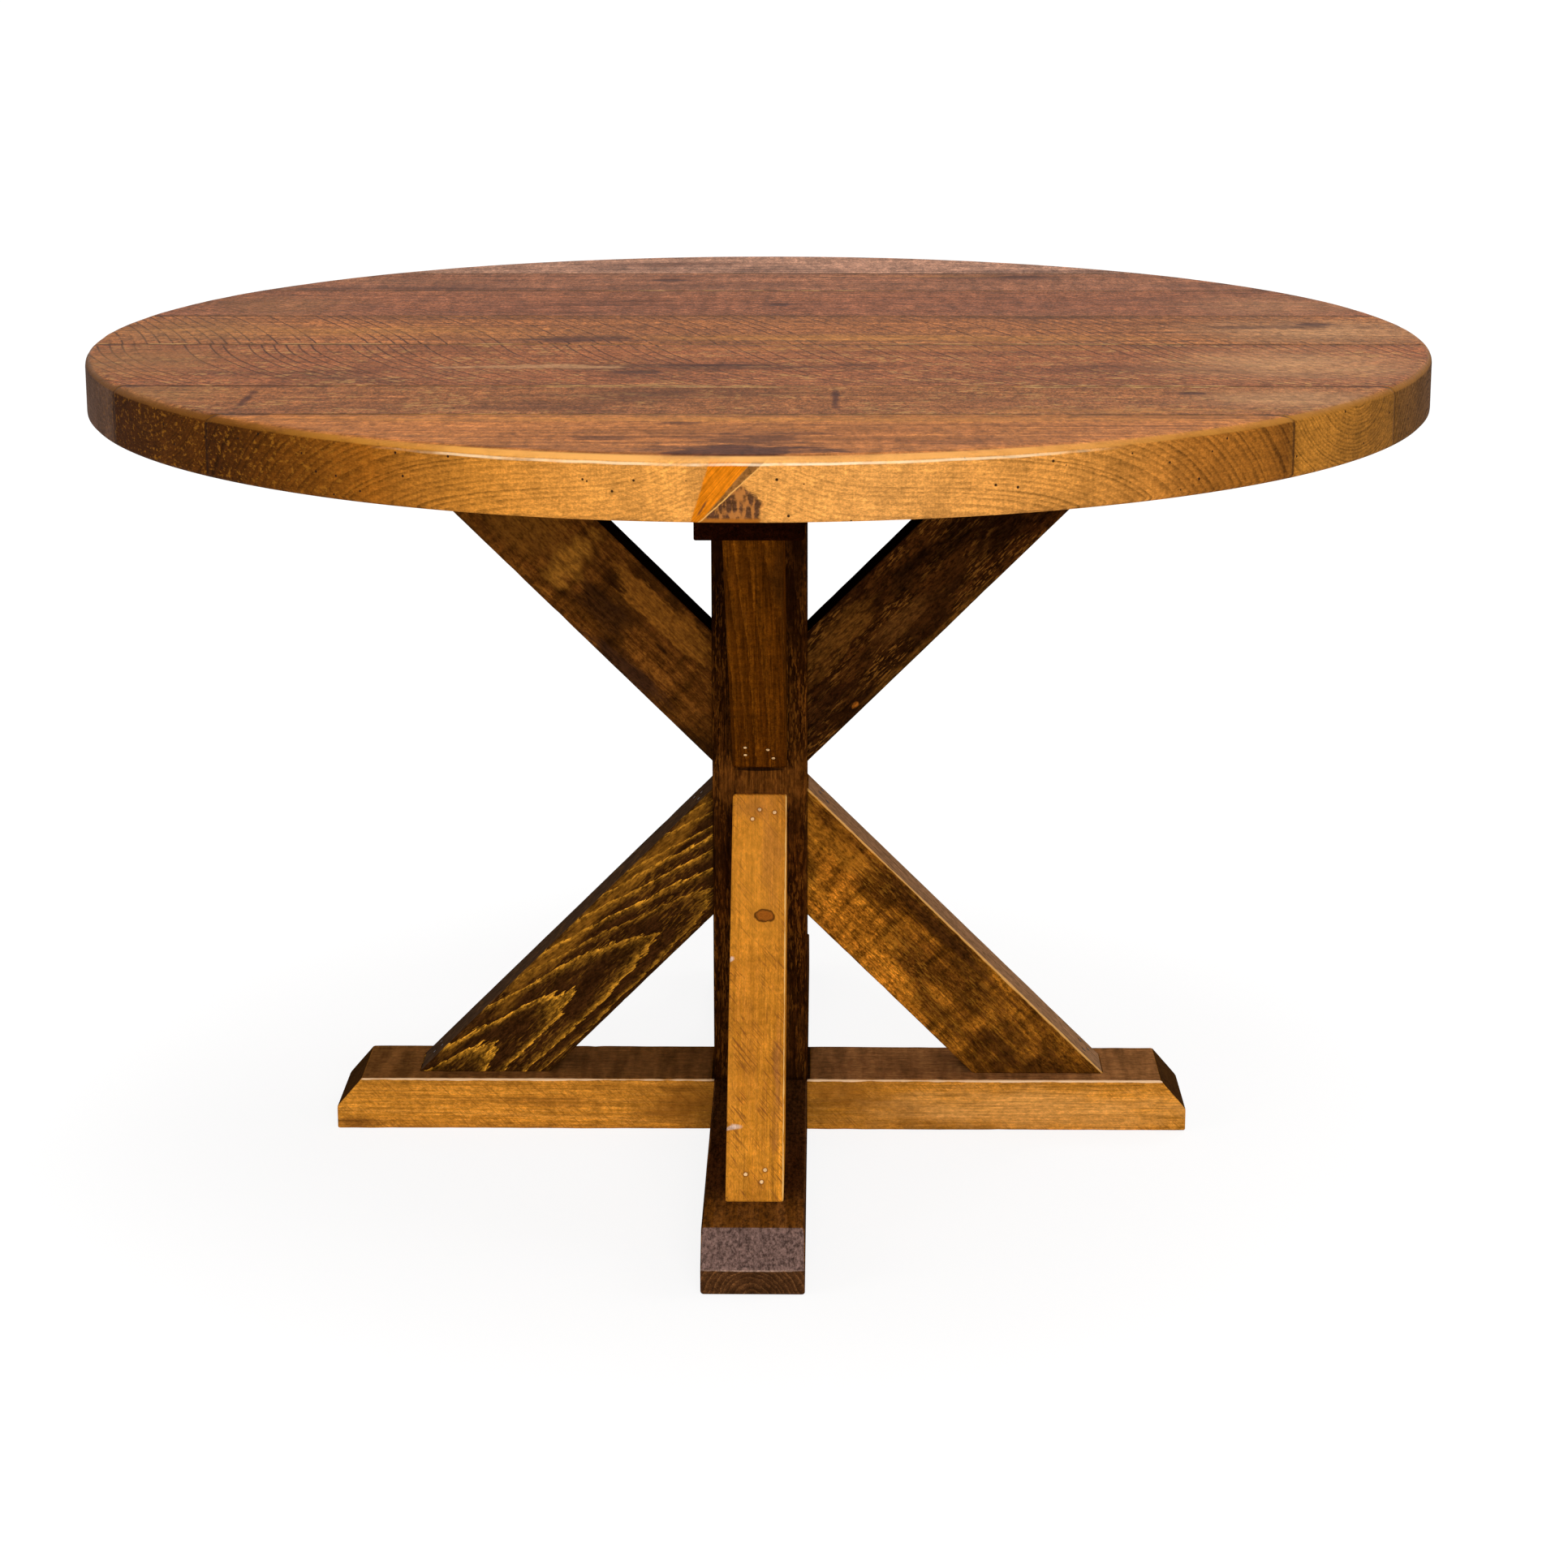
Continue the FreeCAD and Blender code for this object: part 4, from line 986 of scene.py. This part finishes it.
# chips: corner, place along the edge, reach and depth
braces = [
    # the pale golden line on the lower front brace's right edge is wear with a painted highlight
    {"name": "lowerFrontBrace", "node": "lower_brace_front", "side": "front", "kind": lowerBrace,
     "seed": 31.0, "body": (0.61, 0.228, 0.019), "gold": (0.70, 0.29, 0.035), "deep": (0.20, 0.06, 0.014),
     "wornAndHighlight": (0.86, 0.50, 0.14), "soakShow": 0.3, "ringShow": 0.5, "fineShow": 0.16, "fibreShow": 0.2,
     "pepperShow": 0.12, "scratchShow": 0.75, "slope": 1.3, "edgeLineShow": 0.9, "edgeLineSide": (1, -1),
     "edgeLineWidth": 0.0013,
     # painted light: the upper end of the front face is lightened against the shade of the top
     "patches": [spot((0.07, 0.044, 0.0), (0.14, 0.02, 0.05), (0.78, 0.31, 0.032), 0.55, 1.0, 0.9),
                 spot((0.06, 0.044, -0.012), (0.07, 0.02, 0.014), (0.24, 0.085, 0.03), 0.32, 2.6, 0.8),
                 spot((0.015, 0.044, 0.0), (0.02, 0.02, 0.03), (0.34, 0.12, 0.03), 0.4, 2.4, 0.8),
                 spot((0.30, 0.044, -0.019), (0.09, 0.02, 0.006), (0.24, 0.085, 0.03), 0.5, 2.2, 0.8),
                 spot((0.170, 0.0444, 0.0254), (0.0035, 0.006, 0.005), torn, 0.95, 0.4),
                 spot((0.333, 0.0444, 0.0254), (0.0036, 0.012, 0.016), torn, 0.95, 0.4)],
     "knots": [{"at": (0.128, 0.0444, -0.0055), "size": (0.0066, 0.02, 0.0086),
                "colour": (0.36, 0.10, 0.010), "swell": 0.004, "ringColour": (0.030, 0.010, 0.003),
                "halo": (0.50, 0.19, 0.02), "haloShow": 0.5, "show": 0.92}],
     "chips": [(0, 0.1769, 0.006, 0.004), (0, 0.3039, 0.0045, 0.010)]},
    {"name": "lowerBackBrace", "node": "lower_brace_back", "side": "back", "kind": lowerBrace,
     "seed": 32.0, "body": (0.34, 0.12, 0.014), "gold": (0.50, 0.20, 0.03), "scratchShow": 0.4,
     "slope": 1.2},
    {"name": "lowerLeftBrace", "node": "lower_brace_left", "side": "left", "kind": lowerBrace,
     "seed": 33.0, "body": (0.038, 0.013, 0.003), "gold": (0.90, 0.40, 0.03), "spacing": 0.0095,
     "taper": 0.11, "pith": (-0.0385, 0.004), "lean": 0.148, "uneven": 0.5, "ringShift": -0.0042,
     "wander": 0.012, "rag": 0.0026, "ringPower": 6.0, "ringShow": 1.0, "ringBreak": 0.6, "soakShow": 0.25,
     "glintShow": 0.35, "glint": (0.36, 0.15, 0.014), "lineShow": 0.3, "topFace": (0.065, 0.036, 0.020),
     "patches": [spot((0.15, 0.036, -0.025), (0.26, 0.010, 0.03), (0.36, 0.145, 0.012), 0.4, 2.6, 0.7)]},
    # the thin gold line on the lower right brace's upper front edge is wear with a painted highlight
    {"name": "lowerRightBrace", "node": "lower_brace_right", "side": "right", "kind": lowerBrace,
     "seed": 34.0, "body": (0.34, 0.116, 0.009), "gold": (0.56, 0.21, 0.015), "soak": (0.46, 0.57),
     "soakShow": 0.88, "deep": (0.042, 0.013, 0.002), "chatterShow": 0.5, "fineShow": 0.6,
     "pepperShow": 0.3, "glintShow": 0.35, "glint": (0.50, 0.21, 0.02), "wornAndHighlight": (0.66, 0.33, 0.07),
     "edgeLineShow": 0.9, "edgeLineSide": (1, 1), "edgeLineWidth": 0.0015, "topFace": (0.29, 0.155, 0.077),
     "patches": [spot((0.38, 0.0, 0.02), (0.15, 0.09, 0.05), (0.050, 0.016, 0.003), 0.9, 1.8, 0.9),
                 spot((0.05, 0.025, 0.02), (0.07, 0.016, 0.05), (0.40, 0.145, 0.011), 0.5, 2.6, 0.8),
                 spot((0.185, 0.034, 0.02), (0.11, 0.010, 0.05), (0.045, 0.015, 0.003), 0.65, 2.2, 0.8),
                 spot((0.24, 0.030, 0.02), (0.12, 0.014, 0.05), (0.045, 0.015, 0.003), 0.7, 2.0, 0.8)]},
    {"name": "upperFrontBrace", "node": "upper_brace_front", "side": "front", "kind": upperBrace,
     "seed": 41.0, "body": (0.075, 0.020, 0.001), "gold": (0.19, 0.056, 0.003), "fineShow": 0.25,
     "fibreShow": 0.5, "spacing": 0.0045, "taper": 0.0, "wander": 0.015, "pith": (-0.03, 0.03),
     "rag": 0.001, "lineShow": 0.4, "topFace": shaded},
    {"name": "upperBackBrace", "node": "upper_brace_back", "side": "back", "kind": upperBrace,
     "seed": 42.0, "body": (0.12, 0.038, 0.005), "gold": (0.24, 0.09, 0.012), "topFace": shaded},
    {"name": "upperLeftBrace", "node": "upper_brace_left", "side": "left", "kind": upperBrace,
     "seed": 43.0, "body": (0.092, 0.029, 0.004), "gold": (0.21, 0.074, 0.009), "chatterShow": 0.42,
     "fineShow": 0.42, "soakShow": 0.85, "topFace": shaded,
     "patches": [spot((0.232, 0.000, 0.025), (0.021, 0.05, 0.03), (0.31, 0.122, 0.014), 0.85, 2.2, 0.7),
                 spot((0.28, 0.0, 0.025), (0.06, 0.05, 0.03), (0.16, 0.058, 0.007), 0.7, 2.0, 0.8),
                 spot((0.135, -0.024, 0.025), (0.075, 0.014, 0.03), (0.22, 0.078, 0.009), 0.85, 2.6, 0.3),
                 spot((0.172, 0.012, 0.025), (0.046, 0.024, 0.03), (0.028, 0.010, 0.003), 0.8, 2.0, 0.8),
                 spot((0.125, 0.040, 0.025), (0.07, 0.016, 0.03), (0.030, 0.012, 0.006), 0.8, 2.0, 0.8),
                 spot((0.03, 0.007, 0.025), (0.04, 0.03, 0.03), (0.10, 0.031, 0.004), 0.6, 2.0, 0.9),
                 spot((0.111, 0.0005, 0.025), (0.011, 0.003, 0.03), (0.015, 0.005, 0.001), 0.85, 1.2)]},
    {"name": "upperRightBrace", "node": "upper_brace_right", "side": "right", "kind": upperBrace,
     "seed": 44.0, "body": (0.026, 0.0075, 0.0015), "gold": (0.11, 0.036, 0.006), "fineShow": 0.55,
     "glintShow": 0.85, "soakShow": 0.85, "glint": (0.20, 0.078, 0.012), "topFace": shaded,
     "patches": [spot((0.08, -0.02, -0.025), (0.10, 0.016, 0.03), (0.115, 0.042, 0.006), 0.75, 3.2, 0.6),
                 spot((0.17, 0.012, -0.025), (0.05, 0.012, 0.03), (0.085, 0.032, 0.006), 0.6, 2.8, 0.7),
                 spot((0.04, 0.014, -0.025), (0.05, 0.018, 0.03), (0.014, 0.005, 0.002), 0.35, 2.6, 0.8),
                 spot((0.22, -0.018, -0.025), (0.07, 0.020, 0.03), (0.008, 0.003, 0.001), 0.85, 2.6, 0.8),
                 spot((0.30, 0.0, -0.025), (0.07, 0.05, 0.03), (0.009, 0.003, 0.001), 0.85, 2.4, 0.8),
                 spot((0.16, 0.041, -0.025), (0.14, 0.005, 0.03), (0.11, 0.042, 0.006), 0.6, 2.0, 0.7),
                 spot((0.071, 0.037, -0.025), (0.0055, 0.0036, 0.01), (0.34, 0.10, 0.01), 0.9, 1.4)]},
]
for i, brace in enumerate(braces):
    addBrace(brace, dict(braceWear, seed=50 + i, chips=brace.get("chips", [])))

# two feet and two cleats, each pair crossing in a half-lap
footShape = {"half": 0.4064, "run": 0.024, "rise": 0.028, "high": 0.0508}
cleatShape = {"half": 0.4318, "low": 0.6604, "high": 0.7112}


def crossingBar(arm, keepLow, top):
    # the middle keeps its lower or its upper half
    left = [(-s, a, b) for s, a, b in reversed(arm)]
    centre = (-top, 0.0) if keepLow else (0.0, top)
    middle = [(s, centre[0], centre[1]) for s in (-postHalf, -postHalf / 2, 0.0, postHalf / 2, postHalf)]
    return [(s, a, b, 0.0) for s, a, b in left + middle + arm]


def footStations(keepLow):
    top = footShape["high"] / 2
    end = footShape["half"]
    run = footShape["run"]
    drop = footShape["rise"]
    knee = end - run
    arm = [(s, -top, top) for s in steps(postHalf, knee, 0.007)[:-1]]
    # the edges of the chamfer are eased by about a millimetre
    arm.append((knee - 0.0015, -top, top))
    arm.append((knee + 0.0006, -top, top - 0.0006))
    arm += [(knee + run * f, -top, top - drop * f) for f in (0.2, 0.4, 0.6, 0.8)]
    arm.append((end - 0.0012, -top, top - drop * 0.955))
    arm.append((end, -top + 0.0008, top - drop - 0.0008))
    return crossingBar(arm, keepLow, top)


def cleatStations(keepLow):
    top = (cleatShape["high"] - cleatShape["low"]) / 2
    arm = [(s, -top, top) for s in steps(postHalf, cleatShape["half"], 0.008)]
    return crossingBar(arm, keepLow, top)


# the side foot's end chamfers are dark
darkEnd = (0.026, 0.011, 0.005)
# the front foot's chamfers: purple-grey end grain with a painted sheen
endGrainAndSheen = (0.15, 0.090, 0.074)
slope = math.hypot(footShape["run"], footShape["rise"])
slopeOut = footShape["rise"] / slope
slopeUp = footShape["run"] / slope
# the pale pinkish line along the side foot's top front edge is wear with a painted highlight
sideFootLook = {"body": (0.55, 0.213, 0.021), "gold": (0.70, 0.31, 0.055),
                "deep": (0.13, 0.044, 0.007), "wornAndHighlight": (0.90, 0.60, 0.34), "taper": 0.02, "ringShow": 0.5,
                "soak": (0.50, 0.68), "fineShow": 0.22, "scratchShow": 0.35, "slope": 1.0,
                "half": (footShape["high"] / 2, postHalf), "edgeLineWidth": 0.0016, "edgeLineShow": 0.9,
                "edgeLineSide": (1, 1), "pith": (0.06, 0.02),
                # the top face is darker than the front, partly stain and partly painted shade under the top
                "faces": [
                    face((0, 0, 1), (0.165, 0.068, 0.020), 0.92, 0.25, 0.35),
                    face((0, 0, 1), (0.29, 0.124, 0.040), 0.92, 0.25, 0.3, 0.04),
                    face((slopeOut, 0, slopeUp), darkEnd, 0.95), face((-slopeOut, 0, slopeUp), darkEnd, 0.95),
                    face((1, 0, 0), (0.09, 0.03, 0.008)), face((-1, 0, 0), (0.09, 0.03, 0.008))],
                "patches": [
                    spot((-0.075, 0.0, 0.044), (0.05, 0.03, 0.03), (0.20, 0.065, 0.007), 0.6, 2.2, 0.9),
                    spot((0.085, 0.01, 0.044), (0.05, 0.02, 0.03), (0.26, 0.09, 0.010), 0.45, 2.2, 0.9),
                    spot((-0.39, -0.02, 0.044), (0.03, 0.008, 0.03), (0.13, 0.04, 0.008), 0.6, 1.6, 0.8),
                    spot((0.26, -0.004, 0.044), (0.22, 0.030, 0.03), (0.74, 0.35, 0.085), 0.7, 1.2, 0.9),
                    spot((-0.20, 0.0, 0.044), (0.06, 0.012, 0.03), (0.21, 0.07, 0.008), 0.45, 2.4, 0.9)]}
frontFootLook = {"body": (0.070, 0.027, 0.009), "gold": (0.28, 0.112, 0.034),
                 "deep": (0.016, 0.006, 0.002), "taper": 0.0, "spacing": 0.0045, "wander": 0.02,
                 "ringShow": 0.8, "ringPower": 2.4, "rag": 0.0015, "fineShow": 0.35, "pith": (-0.035, 0.0),
                 # the top face is darker, partly stain and partly painted shade, and goes near black back
                 # from its front end
                 "faces": [
                     face((0, 0, 1), (0.16, 0.053, 0.004), 0.6, 0.6),
                     face((0, 0, 1), (0.026, 0.009, 0.003), 0.85, 0.6, 0.0, -0.322),
                     face((1, 0, 0), (0.018, 0.006, 0.001)), face((-1, 0, 0), (0.018, 0.006, 0.001)),
                     face((0, -slopeOut, slopeUp), endGrainAndSheen, 0.95, 0.62),
                     face((0, slopeOut, slopeUp), endGrainAndSheen, 0.95, 0.62)],
                 # a pale painted highlight along the lower edge of each chamfer
                 "patches": [
                     spot((end, -0.0030, 0.0), (0.004, 0.0020, 0.06), (0.42, 0.27, 0.20), 0.9, 0.8, 0.6)
                     for end in (-0.405, 0.405)]}
# the cleats are painted near black: painted shade under the overhang of the top
cleatLook = dict(postLook, pith=(0.05, 0.02), body=(0.009, 0.0018, 0.0004), gold=(0.022, 0.005, 0.001),
                 deep=(0.004, 0.001, 0.0003), glintShow=0.0, patches=[])
barWear = {"radius": 0.0024, "dents": 12, "dent": 0.0016}
footMiddle = footShape["high"] / 2
cleatMiddle = (cleatShape["low"] + cleatShape["high"]) / 2
for name, node, along, middle, stations, seed, look in (
        ("sideFoot", "foot_side_to_side", (1, 0, 0), footMiddle, footStations(True), 61, sideFootLook),
        ("frontFoot", "foot_front_back", (0, 1, 0), footMiddle, footStations(False), 62, frontFootLook),
        ("sideCleat", "cleat_side_to_side", (1, 0, 0), cleatMiddle, cleatStations(False), 71, cleatLook),
        ("frontCleat", "cleat_front_back", (0, 1, 0), cleatMiddle, cleatStations(True), 72, cleatLook)):
    axes = axesOf((0, 0, middle), along, (0, 0, 1))
    mesh = wornBar(name, axes, stations, postHalf, dict(barWear, seed=seed))
    material = finishTimber(name + "Finish", axes, dict(look, seed=float(seed)))
    addPiece(name, mesh, material, node)
print("base made:", len(braces) + 5, "pieces")


# steel and dowels keep their frame shapes; the nail heads at the front are bright and the others stained
# dark
steelLook = {"bright": (0.98, 0.64, 0.30), "dull": (0.48, 0.28, 0.12), "stained": (0.06, 0.026, 0.012),
             "front": (-0.050, -0.060), "specular": 0.15}


def steelFinish(look):
    material = bpy.data.materials.new("nailSteel")
    material.use_nodes = True
    t = material.node_tree
    shader = t.nodes["Principled BSDF"]
    source = t.nodes.new("ShaderNodeTexCoord").outputs["Object"]
    dirt = cloud(t, stretch(t, source, 900.0, 900.0, 900.0), 3.0, 0.6)
    bareAndPaintedHighlight = mix(t, span(t, dirt, 0.45, 0.7), look["bright"], look["dull"])
    front = span(t, split(t, source)[1], *look["front"])
    feed(t, shader.inputs["Base Color"], mix(t, front, look["stained"], bareAndPaintedHighlight))
    feed(t, shader.inputs["Roughness"], span(t, dirt, 0.3, 0.7, 0.35, 0.6))
    shader.inputs["Specular IOR Level"].default_value = look["specular"]
    return material


def setFinish(node, material):
    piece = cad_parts[node]
    piece.data.materials.clear()
    piece.data.materials.append(material)


steel = steelFinish(steelLook)
for node in ("foot_lag_screw", "foot_lag_washer", "head_lag_screw", "head_lag_washer", "top_screws",
             "upper_brace_post_nails", "upper_brace_cleat_nails", "lower_brace_post_nails",
             "lower_brace_foot_nails"):
    setFinish(node, steel)
dowelLook = {"seed": 81.0, "body": (0.55, 0.30, 0.12), "gold": (0.65, 0.40, 0.18),
             "deep": (0.25, 0.12, 0.04)}
topMiddle = (topShape["under"] + topShape["top"]) / 2
dowelAxes = axesOf((0, 0, topMiddle), (0, 1, 0), (1, 0, 0))
setFinish("seam_dowels", finishTimber("dowelFinish", dowelAxes, dowelLook))
print("steel and dowels finished")


# a pale floor that still takes the table's shadow
def floorFinish(look):
    material = bpy.data.materials.new("floorPaper")
    material.use_nodes = True
    t = material.node_tree
    t.nodes.clear()
    matte = t.nodes.new("ShaderNodeBsdfDiffuse")
    matte.inputs["Color"].default_value = look["shade"]
    glow = t.nodes.new("ShaderNodeEmission")
    glow.inputs["Color"].default_value = (1.0, 1.0, 1.0, 1.0)
    glow.inputs["Strength"].default_value = look["glow"]
    rays = t.nodes.new("ShaderNodeLightPath")
    seen = calc(t, "MAXIMUM", calc(t, "MAXIMUM", rays.outputs["Is Camera Ray"],
                                   rays.outputs["Is Glossy Ray"]),
                rays.outputs["Is Transmission Ray"])
    distance = vec(t, "LENGTH", t.nodes.new("ShaderNodeTexCoord").outputs["Object"], out=1)
    both = t.nodes.new("ShaderNodeMixShader")
    feed(t, both.inputs[0], product(t, seen, span(t, distance, look["near"], look["far"], look["lift"],
                                                  look["farLift"])))
    feed(t, both.inputs[1], matte.outputs[0])
    feed(t, both.inputs[2], glow.outputs[0])
    out = t.nodes.new("ShaderNodeOutputMaterial")
    feed(t, out.inputs["Surface"], both.outputs[0])
    return material


floorLook = {"shade": (0.9, 0.9, 0.9, 1.0), "glow": 1.08, "near": 0.5, "far": 1.2, "lift": 0.79,
             "farLift": 0.97, "reach": 40.0}
floorMesh = bpy.data.meshes.new("studioFloor")
reach = floorLook["reach"]
corners = [(-reach, -reach, 0), (reach, -reach, 0), (reach, reach, 0), (-reach, reach, 0)]
floorMesh.from_pydata(corners, [], [(0, 1, 2, 3)])
floor = bpy.data.objects.new("studioFloor", floorMesh)
bpy.context.scene.collection.objects.link(floor)
floorMesh.materials.append(floorFinish(floorLook))

lamps = [
    {"name": "frontSoftbox", "at": (0.5, -4.2, 1.9), "to": (0, 0, 0.45), "size": 2.4, "power": 98.0},
    {"name": "leftSoftbox", "at": (-3.4, -1.6, 2.0), "to": (0, 0, 0.4), "size": 1.8, "power": 22.0},
    {"name": "rightSoftbox", "at": (3.4, 0.6, 2.2), "to": (0, 0, 0.5), "size": 1.8, "power": 26.0},
    {"name": "overheadSoftbox", "at": (0.0, -0.4, 3.6), "to": (0, 0, 0.7), "size": 2.6, "power": 42.0},
    {"name": "backSoftbox", "at": (1.6, 2.9, 4.2), "to": (0, 0, 0.4), "size": 1.6, "power": 34.0},
]
for lamp in lamps:
    light = bpy.data.lights.new(lamp["name"], "AREA")
    light.shape = "DISK"
    light.size = lamp["size"]
    light.energy = lamp["power"]
    holder = bpy.data.objects.new(lamp["name"], light)
    bpy.context.scene.collection.objects.link(holder)
    holder.location = lamp["at"]
    aim = Vector(lamp["to"]) - Vector(lamp["at"])
    holder.rotation_euler = aim.to_track_quat("-Z", "Y").to_euler()

# plain white air, bright at the horizon and calmer above
airLook = {"rise": (0.02, 0.17), "low": 1.0, "high": 0.36}
world = bpy.data.worlds.new("studioWorld")
world.use_nodes = True
bpy.context.scene.world = world
t = world.node_tree
t.nodes.clear()
heading = split(t, t.nodes.new("ShaderNodeTexCoord").outputs["Generated"])
air = t.nodes.new("ShaderNodeBackground")
air.inputs["Color"].default_value = (1.0, 1.0, 1.0, 1.0)
feed(t, air.inputs["Strength"], span(t, heading[2], *airLook["rise"], airLook["low"], airLook["high"]))
feed(t, t.nodes.new("ShaderNodeOutputWorld").inputs["Surface"], air.outputs[0])

viewpoint = {"at": (0.0594, -2.9344, 1.1932), "lens": 73.58, "pitch": 12.016, "yaw": -0.0126,
             "roll": -0.0014, "shiftY": -0.1553, "sensor": 36.0, "farClip": 200.0}


def addCamera(view):
    pitch = math.radians(view["pitch"])
    forward = Vector((math.sin(view["yaw"]) * math.cos(pitch), math.cos(view["yaw"]) * math.cos(pitch),
                      -math.sin(pitch)))
    right = Vector((math.cos(view["yaw"]), -math.sin(view["yaw"]), 0.0))
    up = right.cross(forward)
    c, s = math.cos(view["roll"]), math.sin(view["roll"])
    across = right * c + up * s
    above = up * c - right * s
    data = bpy.data.cameras.new("tableCamera")
    data.sensor_width = view["sensor"]
    data.lens = view["lens"]
    data.shift_y = view["shiftY"]
    data.clip_end = view["farClip"]
    camera = bpy.data.objects.new("tableCamera", data)
    bpy.context.scene.collection.objects.link(camera)
    turn = Matrix((across, above, -forward)).transposed().to_4x4()
    camera.matrix_world = Matrix.Translation(view["at"]) @ turn
    bpy.context.scene.camera = camera


addCamera(viewpoint)
bpy.context.scene.view_settings.view_transform = "Standard"
print("stage ready")
